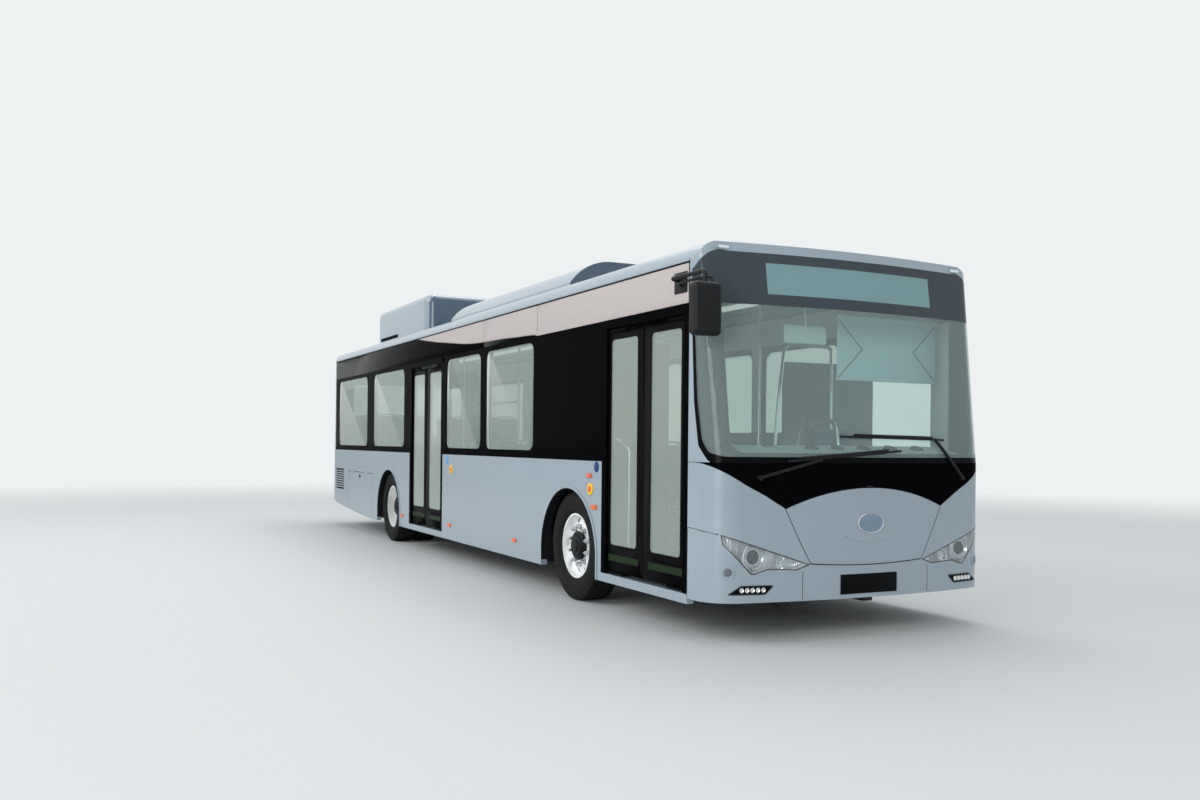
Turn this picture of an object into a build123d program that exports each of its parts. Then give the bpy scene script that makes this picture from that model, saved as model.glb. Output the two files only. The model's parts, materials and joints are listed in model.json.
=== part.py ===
from build123d import *
import os
from math import sqrt

os.makedirs("parts", exist_ok=True)

# A twelve metre low-floor city electric bus, in millimetres.
# X runs forward, Y to the left, Z up from the road. The origin lies on the road under the middle of the body.

# Body envelope
BUS_LENGTH = 12000
BUS_WIDTH = 2550
WIPER_STANDOFF = 15
NOSE_X = BUS_LENGTH / 2 - WIPER_STANDOFF
TAIL_X = -BUS_LENGTH / 2
SIDE_Y = BUS_WIDTH / 2
SKIRT_Z = 250
FRONT_SKIRT_Z = 290
TAIL_SKIRT_Z = 395
BELT_Z = 1236
WINDSCREEN_Z = 1262
GUTTER_Z = 2690
ROOF_Z = 2825
ROOF_FLAT_Y = 1060
ROOF_T = 75
WALL = 55
GLASS_T = 10
FIT = 0.3
TAIL_FACE_GAP = 14
FRONT_BOW_R = 6400
FRONT_CORNER_R = 260
BROW_CORNER_R = 100
FRONT_SETBACK = 225
TAIL_SETBACK = 45
TAIL_CORNER_R = 125
FRONT_SEAM_X = 5545
REAR_SEAM_X = -5800
BROW_DROP = 66
TAIL_RISE_X = -3360

# Floor, running gear and wheels
FLOOR_Z = 320
FLOOR_T = 40
REAR_FLOOR_Z = 700
STEP_X = -1700
FRONT_AXLE_X = 3515
REAR_AXLE_X = -2500
TYRE_R = 479
TYRE_W = 276
RIM_R = 285.8
RIM_W = 210
TYRE_FACE_Y = 1232
TWIN_PITCH = 310
KINGPIN_Y = 950
SPINDLE_R = 45
AXLE_TUBE_R = 70
RUN_FIT = 0.4
WELL_T = 15
FRONT_WELL_Y = 590
REAR_WELL_Y = 560
WELL_TOP_Z = 1040
ARCH_TOP_Z = 988
FRONT_ARCH_X = 3500
REAR_ARCH_X = -2470
ARCH_HALF = 575

# Window band
WINDOW_BOTTOM_Z = 1312
WINDOW_TOP_Z = 2338
WINDOW_CORNER_R = 95

# Doors
DOOR_TOP_Z = 2385
FRONT_DOOR_REAR_X = 4165
MID_DOOR_REAR_X = -1455
DOOR_W = 1380
JAMB_W = 30
HEADER_Z = 2320
HEADER_DEPTH = 195
HEADER_PROUD = 14
LEAF_T = 40
LEAF_RECESS = 20
LEAF_BOTTOM_Z = 350
LEAF_TOP_Z = 2290
LEAF_GAP = 6
DOOR_ARM = 290
POST_R = 18
PIN_R = 10
ARM_T = 15

# Moving lids
LID_GAP = 8
HINGE_R = 5
FLAP_REAR_X = -4896
FLAP_FRONT_X = -3363
FLAP_TOP_Z = 912
REAR_LID_HALF = 880
REAR_LID_BOTTOM_Z = 590
REAR_LID_TOP_Z = 1238

# Derived places
WALL_IN_Y = SIDE_Y - WALL
TAIL_FACE_X = TAIL_X + TAIL_FACE_GAP
CEILING_Z = ROOF_Z - ROOF_T
WHEEL_Y = TYRE_FACE_Y - TYRE_W / 2
LEAF_Y = SIDE_Y - LEAF_RECESS - LEAF_T / 2
RIGHT_SIDE = Plane.XZ.offset(SIDE_Y)
LEFT_SIDE = Plane.XZ.offset(-SIDE_Y)
FRONT_VIEW = Plane.YZ.offset(FRONT_SEAM_X)
FRONT_REACH = 2 * (NOSE_X - FRONT_SEAM_X)


def keep(piece, name):
    """Label a finished piece and write it."""
    piece.part.label = name
    export_step(piece.part, f"parts/{name}.step")


def span(low, high):
    """Middle and size of a box given by two corners."""
    middle = tuple((a + b) / 2 for a, b in zip(low, high))
    size = tuple(b - a for a, b in zip(low, high))
    return middle, size


def block(low, high, mode=Mode.ADD):
    """A box between two corners, in the current part."""
    middle, size = span(low, high)
    with Locations(middle):
        Box(*size, mode=mode)


# Body envelope: plan outline lofted from the belt to the brow, under a roof with coved edges
def body_plan(level, inset, setback, corner_r, tail_setback):
    half = SIDE_Y - inset
    nose = NOSE_X - inset - setback
    tail = TAIL_FACE_X + inset + tail_setback
    bow_r = FRONT_BOW_R - inset
    shoulder = nose - bow_r + sqrt(bow_r ** 2 - half ** 2)
    with BuildSketch(Plane.XY.offset(level)) as plan:
        with BuildLine():
            Polyline((shoulder, half), (tail, half), (tail, -half), (shoulder, -half))
            ThreePointArc((shoulder, -half), (nose, 0), (shoulder, half))
        make_face()
        fillet(plan.vertices().group_by(Axis.X)[-1], radius=corner_r - inset)
        fillet(plan.vertices().group_by(Axis.X)[0], radius=TAIL_CORNER_R - inset)
    return plan.sketch


def roof_section(inset, roof, drop, bottom):
    half = SIDE_Y - inset
    flat = ROOF_FLAT_Y - inset
    gutter = GUTTER_Z - drop
    top = roof - drop
    bulge = (flat + 0.72 * (half - flat), gutter + 0.74 * (top - gutter))
    with BuildSketch(Plane.YZ) as section:
        with BuildLine():
            Polyline((-half, gutter), (-half, bottom), (half, bottom), (half, gutter))
            ThreePointArc((half, gutter), bulge, (flat, top))
            Line((flat, top), (-flat, top))
            ThreePointArc((-flat, top), (-bulge[0], bulge[1]), (-half, gutter))
        make_face()
    return section.sketch


def envelope(inset, roof):
    bottom = SKIRT_Z - inset
    low = body_plan(bottom, inset, 0, FRONT_CORNER_R, 0)
    belt = body_plan(WINDSCREEN_Z, inset, 0, FRONT_CORNER_R, 0)
    brow = body_plan(ROOF_Z, inset, FRONT_SETBACK, BROW_CORNER_R, TAIL_SETBACK)
    with BuildPart() as hull:
        extrude(low, amount=WINDSCREEN_Z - bottom)
        loft([belt, brow], ruled=True)
        extrude(roof_section(inset, roof, 0, bottom), amount=BUS_LENGTH, both=True, mode=Mode.INTERSECT)
    return hull.part


outer_body = envelope(0, ROOF_Z)
glass_back = envelope(GLASS_T, ROOF_Z - GLASS_T)
frame_face = envelope(GLASS_T + FIT, ROOF_Z - GLASS_T - FIT)
inner_body = envelope(WALL, CEILING_Z)


def shell_between(low, high):
    """The wall of the body, cut to a box."""
    with BuildPart() as wall:
        add(outer_body)
        block(low, high, Mode.INTERSECT)
        add(inner_body, mode=Mode.SUBTRACT)
    return wall.part


# Roof: pressed skin from the gutter up, running forward into the brow above the windscreen
with BuildPart() as brow:
    add(shell_between((FRONT_SEAM_X, -SIDE_Y, GUTTER_Z - WALL), (NOSE_X, SIDE_Y, ROOF_Z)))
    extrude(roof_section(0, ROOF_Z, BROW_DROP, SKIRT_Z), amount=BUS_LENGTH, mode=Mode.SUBTRACT)
DRIP_PROUD = 9
DRIP_H = 16
BROW_LAMP = (5625, 1085, 2784)
BROW_LAMP_SIZE = (64, 110, 34)
with BuildPart() as roof_shell:
    add(shell_between((TAIL_X, -SIDE_Y, GUTTER_Z), (FRONT_SEAM_X, SIDE_Y, ROOF_Z)))
    add(brow.part)
    for hand in (-1, 1):
        rail = sorted((hand * (SIDE_Y - WALL / 2), hand * (SIDE_Y + DRIP_PROUD)))
        block((REAR_SEAM_X, rail[0], GUTTER_Z), (FRONT_SEAM_X, rail[1], GUTTER_Z + DRIP_H))
    with BuildSketch(Plane.YZ.offset(BROW_LAMP[0])):
        with Locations([(hand * BROW_LAMP[1], BROW_LAMP[2]) for hand in (-1, 1)]):
            SlotOverall(BROW_LAMP_SIZE[1], BROW_LAMP_SIZE[2])
    extrude(amount=BROW_LAMP_SIZE[0])
keep(roof_shell, "roof_shell")

# Windscreen: one bent pane from corner to corner, bonded to a frame of pillars and header
ZONE_LOW = (FRONT_SEAM_X, -SIDE_Y, WINDSCREEN_Z)
ZONE_HIGH = (NOSE_X, SIDE_Y, ROOF_Z)
SCREEN_HALF = 1120
SCREEN_SILL_Z = 1330
SCREEN_HEAD_Z = 2440
with BuildPart() as windscreen:
    add(outer_body)
    block(ZONE_LOW, ZONE_HIGH, Mode.INTERSECT)
    add(glass_back, mode=Mode.SUBTRACT)
    extrude(roof_section(0, ROOF_Z, BROW_DROP, SKIRT_Z), amount=BUS_LENGTH, mode=Mode.INTERSECT)
keep(windscreen, "windscreen")

with BuildPart() as windscreen_frame:
    add(frame_face)
    block(ZONE_LOW, ZONE_HIGH, Mode.INTERSECT)
    add(inner_body, mode=Mode.SUBTRACT)
    extrude(roof_section(0, ROOF_Z, BROW_DROP, SKIRT_Z), amount=BUS_LENGTH, mode=Mode.INTERSECT)
    with BuildSketch(FRONT_VIEW):
        with Locations((0, (SCREEN_SILL_Z + SCREEN_HEAD_Z) / 2)):
            RectangleRounded(2 * SCREEN_HALF, SCREEN_HEAD_Z - SCREEN_SILL_Z, WINDOW_CORNER_R)
    extrude(amount=FRONT_REACH, mode=Mode.SUBTRACT)
keep(windscreen_frame, "windscreen_frame")

# Front mask: centre service panel, corner panels, bumper, lamps and the dark wiper panel
PANEL_TOP_Y = 722
PANEL_TOP_Z = 942
PANEL_ARCH_Z = 1089
PANEL_WAIST = (600, 700)
PANEL_FOOT_Y = 512
PANEL_FOOT_Z = 544
PANEL_BOTTOM_Z = 524
WIPER_EDGE = ((SIDE_Y, 1258), (1022, 1105), (877, 1032), (PANEL_TOP_Y, PANEL_TOP_Z))
LAMP_TIP = (PANEL_FOOT_Y, PANEL_FOOT_Z)
LAMP_TOP = (1187, 765)
LAMP_LOWER = ((1175, 692), (986, 487), (956, 484), (855, 515), (622, 506))
SEAM_CORNER_Z = 793
FOG_OUTLINE = ((1140, 356), (840, 408), (890, 363))


def mirrored(points):
    """The same points on the other side, in reverse order."""
    return [(-y, z) for y, z in reversed(points)]


def service_panel_outline():
    arch = ((-PANEL_TOP_Y, PANEL_TOP_Z), (0, PANEL_ARCH_Z), (PANEL_TOP_Y, PANEL_TOP_Z))
    foot = ((-PANEL_FOOT_Y, PANEL_FOOT_Z), (0, PANEL_BOTTOM_Z), (PANEL_FOOT_Y, PANEL_FOOT_Z))
    with BuildSketch(FRONT_VIEW) as outline:
        with BuildLine():
            ThreePointArc(*arch)
            ThreePointArc(arch[2], PANEL_WAIST, foot[2])
            ThreePointArc(foot[2], foot[1], foot[0])
            ThreePointArc(foot[0], (-PANEL_WAIST[0], PANEL_WAIST[1]), arch[0])
        make_face()
    return outline.sketch


def front_outline(points):
    with BuildSketch(FRONT_VIEW) as outline:
        with BuildLine():
            Polyline(*points, close=True)
        make_face()
    return outline.sketch


def lamp_outlines(points, gap):
    """One lamp outline on each side, shrunk by a gap."""
    with BuildSketch(FRONT_VIEW) as outline:
        for run in (list(points), mirrored(points)):
            with BuildLine():
                Polyline(*run, close=True)
            make_face()
        if gap:
            offset(amount=-gap, kind=Kind.INTERSECTION)
    return outline.sketch


PLATE_Z = 392
PLATE_HOLE_Y = 240
PLATE_HOLE_R = 3.5
LAMP_OUTLINE = (LAMP_TIP, LAMP_TOP) + LAMP_LOWER
panel_outline = service_panel_outline()
wiper_zone = front_outline(
    [(SIDE_Y, ROOF_Z)] + list(WIPER_EDGE) + mirrored(WIPER_EDGE) + [(-SIDE_Y, ROOF_Z)]
)
BUMPER_EDGE = ((SIDE_Y, SEAM_CORNER_Z), LAMP_TOP, LAMP_TIP)
bumper_zone = front_outline(
    [(SIDE_Y, 0)] + list(BUMPER_EDGE) + mirrored(BUMPER_EDGE) + [(-SIDE_Y, 0)]
)
front_wall = shell_between((FRONT_SEAM_X, -SIDE_Y, FRONT_SKIRT_Z), (NOSE_X, SIDE_Y, WINDSCREEN_Z))

with BuildPart() as front_corners:
    add(front_wall)
    for zone in (panel_outline, wiper_zone, bumper_zone):
        extrude(zone, amount=FRONT_REACH, mode=Mode.SUBTRACT)
keep(front_corners, "front_corners")

HINGE_Z = PANEL_ARCH_Z + HINGE_R
HINGE_X = NOSE_X - HINGE_R
PANEL_HINGE = 60
# Wipers: spindle, bent arm and blade for each half of the windscreen
WIPER_ARM_R = 12
WIPER_BLADE_R = 8
WIPER_GAP = 16
WIPER_SPINDLE_R = 18
WIPER_SPINDLE = 60
# Columns: pivot y, pivot z, elbow y, elbow z, blade start y, blade start z, blade end y, blade end z
WIPERS = ((-927, 1157, -444, 1284, -712, 1272, 291, 1351), (948, 1147, 661, 1436, -263, 1452, 752, 1437))


def front_skin(y, z):
    """Outer face of the front at a place across and up, near enough for parts laid on it."""
    sag = FRONT_BOW_R - sqrt(FRONT_BOW_R ** 2 - y ** 2)
    lean = max(0, z - WINDSCREEN_Z) * FRONT_SETBACK / (ROOF_Z - WINDSCREEN_Z)
    return NOSE_X - sag - lean


def over_skin(y, z):
    """A point held off the front face by the wiper's standing height."""
    return (front_skin(y, z) + WIPER_GAP, y, z)


with BuildPart() as wiper_panel:
    add(front_wall)
    extrude(wiper_zone, amount=FRONT_REACH, mode=Mode.INTERSECT)
    extrude(panel_outline, amount=FRONT_REACH, mode=Mode.SUBTRACT)
    with Locations(Location((HINGE_X, 0, HINGE_Z), (90, 0, 0))):
        Cylinder(2 * HINGE_R + LID_GAP, 2 * PANEL_HINGE, mode=Mode.SUBTRACT)
    for end in (-1, 1):
        with Locations(Location((HINGE_X, end * 0.75 * PANEL_HINGE, HINGE_Z), (90, 0, 0))):
            Cylinder(HINGE_R, PANEL_HINGE / 2 - FIT)
        block((HINGE_X - WALL / 2, end * 0.75 * PANEL_HINGE - 10, HINGE_Z - 2),
              (HINGE_X, end * 0.75 * PANEL_HINGE + 10, HINGE_Z + 3 * HINGE_R + LID_GAP))
    for pivot_y, pivot_z in [row[:2] for row in WIPERS]:
        with Locations(Location((front_skin(pivot_y, pivot_z), pivot_y, pivot_z), (0, 90, 0))):
            Cylinder(WIPER_SPINDLE_R + FIT, 4 * WIPER_SPINDLE, mode=Mode.SUBTRACT)
keep(wiper_panel, "wiper_panel")

with BuildPart() as wipers:
    for pivot_y, pivot_z, elbow_y, elbow_z, start_y, start_z, end_y, end_z in WIPERS:
        with Locations(Location((front_skin(pivot_y, pivot_z), pivot_y, pivot_z), (0, 90, 0))):
            Cylinder(WIPER_SPINDLE_R, WIPER_SPINDLE)
        arm = (pivot_y, pivot_z, elbow_y, elbow_z, WIPER_ARM_R)
        blade = (start_y, start_z, end_y, end_z, WIPER_BLADE_R)
        for from_y, from_z, to_y, to_z, rod_r in (arm, blade):
            with BuildLine() as rod_line:
                half_way = over_skin((from_y + to_y) / 2, (from_z + to_z) / 2)
                ThreePointArc(over_skin(from_y, from_z), half_way, over_skin(to_y, to_z))
            with BuildSketch(Plane(origin=rod_line.line @ 0, z_dir=rod_line.line % 0)):
                Circle(rod_r)
            sweep()
        with Locations(over_skin(elbow_y, elbow_z)):
            Sphere(WIPER_ARM_R + 2)
keep(wipers, "wipers")

with BuildPart() as front_panel:
    add(front_wall)
    extrude(offset(panel_outline, amount=-LID_GAP), amount=FRONT_REACH, mode=Mode.INTERSECT)
    with Locations(Location((HINGE_X, 0, HINGE_Z), (90, 0, 0))):
        Cylinder(HINGE_R, PANEL_HINGE - FIT)
    block((HINGE_X - HINGE_R, -20, HINGE_Z - 3 * HINGE_R - LID_GAP), (HINGE_X, 20, HINGE_Z))
keep(front_panel, "front_panel")

with BuildPart() as front_bumper:
    add(front_wall)
    extrude(bumper_zone, amount=FRONT_REACH, mode=Mode.INTERSECT)
    extrude(panel_outline, amount=FRONT_REACH, mode=Mode.SUBTRACT)
    extrude(lamp_outlines(LAMP_OUTLINE, 0), amount=FRONT_REACH, mode=Mode.SUBTRACT)
    extrude(lamp_outlines(FOG_OUTLINE, 0), amount=FRONT_REACH, mode=Mode.SUBTRACT)
    with BuildSketch(FRONT_VIEW):
        with Locations([(hand * PLATE_HOLE_Y, PLATE_Z) for hand in (-1, 1)]):
            Circle(PLATE_HOLE_R)
    extrude(amount=FRONT_REACH, mode=Mode.SUBTRACT)
keep(front_bumper, "front_bumper")

with BuildPart() as headlamps:
    extrude(lamp_outlines(LAMP_OUTLINE, FIT), amount=FRONT_REACH)
    extrude(lamp_outlines(FOG_OUTLINE, FIT), amount=FRONT_REACH)
    add(front_wall, mode=Mode.INTERSECT)
keep(headlamps, "headlamps")


# Side walls: painted lower panels and the dark window band, with arches, doors and windows cut
def arch_outline(middle):
    """Wheel arch seen from the side: straight legs under a round top."""
    with BuildSketch(Plane.XZ) as arch:
        with BuildLine():
            spring = ARCH_TOP_Z - ARCH_HALF + 40
            Polyline((middle - ARCH_HALF, spring), (middle - ARCH_HALF, 0),
                     (middle + ARCH_HALF, 0), (middle + ARCH_HALF, spring))
            ThreePointArc((middle + ARCH_HALF, spring), (middle, ARCH_TOP_Z), (middle - ARCH_HALF, spring))
        make_face()
    return arch.sketch


def tail_rise():
    """The wedge under the tail that the rear overhang leaves open."""
    with BuildSketch(Plane.XZ) as wedge:
        with BuildLine():
            Line((TAIL_RISE_X, SKIRT_Z), (TAIL_RISE_X, 0))
            Polyline((TAIL_RISE_X, 0), (TAIL_X, 0), (TAIL_X, TAIL_SKIRT_Z))
            ThreePointArc((TAIL_X, TAIL_SKIRT_Z), (-4900, 312), (TAIL_RISE_X, SKIRT_Z))
        make_face()
    return wedge.sketch


DOOR_SPANS = [(start, start + DOOR_W) for start in (FRONT_DOOR_REAR_X, MID_DOOR_REAR_X)]
# Window panes: rear edge and front edge along the side
RIGHT_WINDOWS = [(-5515, -3700), (-3285, -1730), (90, 1220), (1413, 2686)]
LEFT_WINDOWS = RIGHT_WINDOWS + [(-1550, -90), (2866, 4090), (4270, 5300)]


def side_wall(hand, bottom, top):
    """One flat side of the body between two heights; hand is -1 on the right."""
    reach = sorted((hand * WALL_IN_Y, hand * SIDE_Y))
    block((REAR_SEAM_X, reach[0], bottom), (FRONT_SEAM_X, reach[1], top))


def pane_sketch(plane, windows, gap):
    height = WINDOW_TOP_Z - WINDOW_BOTTOM_Z - 2 * gap
    with BuildSketch(plane) as panes:
        for rear, front in windows:
            with Locations(((rear + front) / 2, (WINDOW_BOTTOM_Z + WINDOW_TOP_Z) / 2)):
                RectangleRounded(front - rear - 2 * gap, height, WINDOW_CORNER_R - gap)
    return panes.sketch


LIP_W = 26
LIP_PROUD = 8
LOUVRE = (-5760, -5180, 600, 930)
LOUVRE_SLATS = 9
LOUVRE_DEPTH = 24


def louvre(outside):
    """Air intake let into the right rear panel: a recess with slats standing in it."""
    rear, front, bottom, top = LOUVRE
    block((rear, outside, bottom), (front, outside + LOUVRE_DEPTH, top), Mode.SUBTRACT)
    pitch = (top - bottom) / LOUVRE_SLATS
    for slat in range(1, LOUVRE_SLATS):
        level = bottom + slat * pitch
        block((rear, outside + 3, level - pitch / 4), (front, outside + LOUVRE_DEPTH, level + pitch / 4))


def lower_panels(hand, doors, flap):
    outside = Location((0, hand * SIDE_Y, 0))
    with BuildPart() as panels:
        side_wall(hand, SKIRT_Z, BELT_Z)
        for middle in (FRONT_ARCH_X, REAR_ARCH_X):
            lip = offset(arch_outline(middle), amount=LIP_W)
            extrude(lip.moved(outside), amount=-hand * LIP_PROUD)
        block((REAR_SEAM_X, -BUS_WIDTH, -LIP_W), (FRONT_SEAM_X, BUS_WIDTH, SKIRT_Z), Mode.SUBTRACT)
        for middle in (FRONT_ARCH_X, REAR_ARCH_X):
            extrude(arch_outline(middle), amount=BUS_WIDTH, both=True, mode=Mode.SUBTRACT)
        extrude(tail_rise(), amount=BUS_WIDTH, both=True, mode=Mode.SUBTRACT)
        for rear, front in doors:
            block((rear, -SIDE_Y, FLOOR_Z), (front, 0, ROOF_Z), Mode.SUBTRACT)
        if flap:
            louvre(-SIDE_Y)
            block((FLAP_REAR_X, -SIDE_Y, 0), (FLAP_FRONT_X, 0, FLAP_TOP_Z), Mode.SUBTRACT)
            for middle in FLAP_HINGES:
                with Locations(Location((middle, -FLAP_AXIS_Y, FLAP_AXIS_Z), (0, 90, 0))):
                    Cylinder(HINGE_R, FLAP_HINGE)
                block((middle - LEAF_HALF, -FLAP_AXIS_Y, FLAP_AXIS_Z),
                      (middle + LEAF_HALF, -SIDE_Y, FLAP_AXIS_Z + HINGE_LEAF))
    return panels


def window_band(hand, windows, doors):
    plane = RIGHT_SIDE if hand < 0 else LEFT_SIDE
    with BuildPart() as band:
        side_wall(hand, BELT_Z, GUTTER_Z)
        extrude(pane_sketch(plane, windows, 0), amount=hand * 2 * WALL, mode=Mode.SUBTRACT)
        for rear, front in doors:
            block((rear, -SIDE_Y, 0), (front, 0, DOOR_TOP_Z), Mode.SUBTRACT)
    return band


FLAP_HINGE = 110
HINGE_LEAF = 22
LEAF_HALF = 20
FLAP_AXIS_Y = SIDE_Y + HINGE_R + FIT
FLAP_AXIS_Z = FLAP_TOP_Z - LID_GAP / 2
FLAP_HINGES = (FLAP_REAR_X + 350, FLAP_FRONT_X - 350)

right_lower_panels = lower_panels(-1, DOOR_SPANS, True)
keep(right_lower_panels, "right_lower_panels")
left_lower_panels = lower_panels(1, [], False)
keep(left_lower_panels, "left_lower_panels")
right_window_band = window_band(-1, RIGHT_WINDOWS, DOOR_SPANS)
keep(right_window_band, "right_window_band")
left_window_band = window_band(1, LEFT_WINDOWS, [])
keep(left_window_band, "left_window_band")

# Right rear equipment flap, hung on two exposed hinges along its top edge
with BuildPart() as right_flap:
    block((FLAP_REAR_X + LID_GAP, -SIDE_Y, 0), (FLAP_FRONT_X - LID_GAP, -WALL_IN_Y, FLAP_TOP_Z - LID_GAP))
    extrude(tail_rise(), amount=BUS_WIDTH, both=True, mode=Mode.SUBTRACT)
    block((FLAP_REAR_X, -SIDE_Y, 0), (FLAP_FRONT_X, 0, SKIRT_Z), Mode.SUBTRACT)
    for middle in FLAP_HINGES:
        for end in (-1, 1):
            place = middle + end * (0.75 * FLAP_HINGE + FIT)
            with Locations(Location((place, -FLAP_AXIS_Y, FLAP_AXIS_Z), (0, 90, 0))):
                Cylinder(HINGE_R, FLAP_HINGE / 2)
            block((place - LEAF_HALF, -FLAP_AXIS_Y, FLAP_AXIS_Z - HINGE_LEAF),
                  (place + LEAF_HALF, -SIDE_Y, FLAP_AXIS_Z))
keep(right_flap, "right_flap")

# Bonded panes of both sides and the rear window
REAR_WINDOW_HALF = 960
REAR_WINDOW_BOTTOM_Z = 1480
REAR_WINDOW_TOP_Z = 2330
REAR_VIEW = Plane.YZ.offset(REAR_SEAM_X)


def rear_window_sketch(gap):
    with BuildSketch(REAR_VIEW) as pane:
        with Locations((0, (REAR_WINDOW_BOTTOM_Z + REAR_WINDOW_TOP_Z) / 2)):
            RectangleRounded(2 * (REAR_WINDOW_HALF - gap), REAR_WINDOW_TOP_Z - REAR_WINDOW_BOTTOM_Z - 2 * gap,
                             WINDOW_CORNER_R - gap)
    return pane.sketch


TAIL_REACH = TAIL_X - REAR_SEAM_X
with BuildPart() as rear_pane:
    add(outer_body)
    extrude(rear_window_sketch(FIT), amount=TAIL_REACH, mode=Mode.INTERSECT)
    add(glass_back, mode=Mode.SUBTRACT)
with BuildPart() as body_glass:
    extrude(pane_sketch(RIGHT_SIDE, RIGHT_WINDOWS, FIT), amount=-GLASS_T)
    extrude(pane_sketch(LEFT_SIDE, LEFT_WINDOWS, FIT), amount=GLASS_T)
    add(rear_pane.part)
keep(body_glass, "body_glass")

# Rear wall with the motor bay lid, tail lamps and bumper
TAIL_LAMP_Y = 1075
TAIL_LAMP_W = 150
TAIL_LAMP_Z = (760, 1440)
REAR_BUMPER_TOP_Z = 560
LID_AXIS_X = TAIL_FACE_X - HINGE_R - FIT
LID_AXIS_Z = REAR_LID_TOP_Z - LID_GAP / 2
LID_HINGES = (-520, 520)


def tail_lamp_sketch(gap):
    with BuildSketch(REAR_VIEW) as lamp:
        with Locations([(hand * TAIL_LAMP_Y, sum(TAIL_LAMP_Z) / 2) for hand in (-1, 1)]):
            RectangleRounded(TAIL_LAMP_W - 2 * gap, TAIL_LAMP_Z[1] - TAIL_LAMP_Z[0] - 2 * gap, 60 - gap)
    return lamp.sketch


rear_shell = shell_between((TAIL_X, -SIDE_Y, TAIL_SKIRT_Z), (REAR_SEAM_X, SIDE_Y, GUTTER_Z))
with BuildPart() as rear_wall:
    add(rear_shell)
    block((TAIL_X, -SIDE_Y, 0), (REAR_SEAM_X, SIDE_Y, REAR_BUMPER_TOP_Z), Mode.SUBTRACT)
    extrude(rear_window_sketch(0), amount=TAIL_REACH, mode=Mode.SUBTRACT)
    extrude(tail_lamp_sketch(0), amount=TAIL_REACH, mode=Mode.SUBTRACT)
    block((TAIL_X, -REAR_LID_HALF, REAR_LID_BOTTOM_Z), (REAR_SEAM_X, REAR_LID_HALF, REAR_LID_TOP_Z),
          Mode.SUBTRACT)
    for middle in LID_HINGES:
        with Locations(Location((LID_AXIS_X, middle, LID_AXIS_Z), (90, 0, 0))):
            Cylinder(HINGE_R, FLAP_HINGE)
        block((LID_AXIS_X, middle - LEAF_HALF, LID_AXIS_Z),
              (TAIL_FACE_X, middle + LEAF_HALF, LID_AXIS_Z + HINGE_LEAF))
keep(rear_wall, "rear_wall")

LID_SLOTS_Z = (690, 735, 780, 825, 870)
LID_SLOT = (600, 22)
LID_SLOT_DEPTH = 18
with BuildPart() as rear_lid:
    add(rear_shell)
    block((TAIL_X, -REAR_LID_HALF + LID_GAP, REAR_LID_BOTTOM_Z + LID_GAP),
          (REAR_SEAM_X, REAR_LID_HALF - LID_GAP, REAR_LID_TOP_Z - LID_GAP), Mode.INTERSECT)
    for level in LID_SLOTS_Z:
        for hand in (-1, 1):
            middle = hand * (LID_SLOT[0] / 2 + 60)
            low = (TAIL_FACE_X, middle - LID_SLOT[0] / 2, level - LID_SLOT[1] / 2)
            high = (TAIL_FACE_X + LID_SLOT_DEPTH, middle + LID_SLOT[0] / 2, level + LID_SLOT[1] / 2)
            block(low, high, Mode.SUBTRACT)
    for middle in LID_HINGES:
        for end in (-1, 1):
            place = middle + end * (0.75 * FLAP_HINGE + FIT)
            with Locations(Location((LID_AXIS_X, place, LID_AXIS_Z), (90, 0, 0))):
                Cylinder(HINGE_R, FLAP_HINGE / 2)
            block((LID_AXIS_X, place - LEAF_HALF, LID_AXIS_Z - HINGE_LEAF),
                  (TAIL_FACE_X, place + LEAF_HALF, LID_AXIS_Z))
keep(rear_lid, "rear_lid")

with BuildPart() as rear_lamps:
    add(rear_shell)
    extrude(tail_lamp_sketch(FIT), amount=TAIL_REACH, mode=Mode.INTERSECT)
keep(rear_lamps, "rear_lamps")

with BuildPart() as rear_bumper:
    add(rear_shell)
    block((TAIL_X, -SIDE_Y, TAIL_SKIRT_Z), (REAR_SEAM_X, SIDE_Y, REAR_BUMPER_TOP_Z), Mode.INTERSECT)
    with BuildSketch(Plane.YZ.offset(TAIL_FACE_X)):
        with Locations((0, (TAIL_SKIRT_Z + REAR_BUMPER_TOP_Z) / 2)):
            RectangleRounded(2 * REAR_LID_HALF, 0.6 * (REAR_BUMPER_TOP_Z - TAIL_SKIRT_Z), 30)
    extrude(amount=-TAIL_FACE_GAP)
    with BuildSketch(REAR_VIEW):
        with Locations([(hand * PLATE_HOLE_Y, (TAIL_SKIRT_Z + REAR_BUMPER_TOP_Z) / 2) for hand in (-1, 1)]):
            Circle(PLATE_HOLE_R)
    extrude(amount=2 * TAIL_REACH, mode=Mode.SUBTRACT)
keep(rear_bumper, "rear_bumper")

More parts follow.
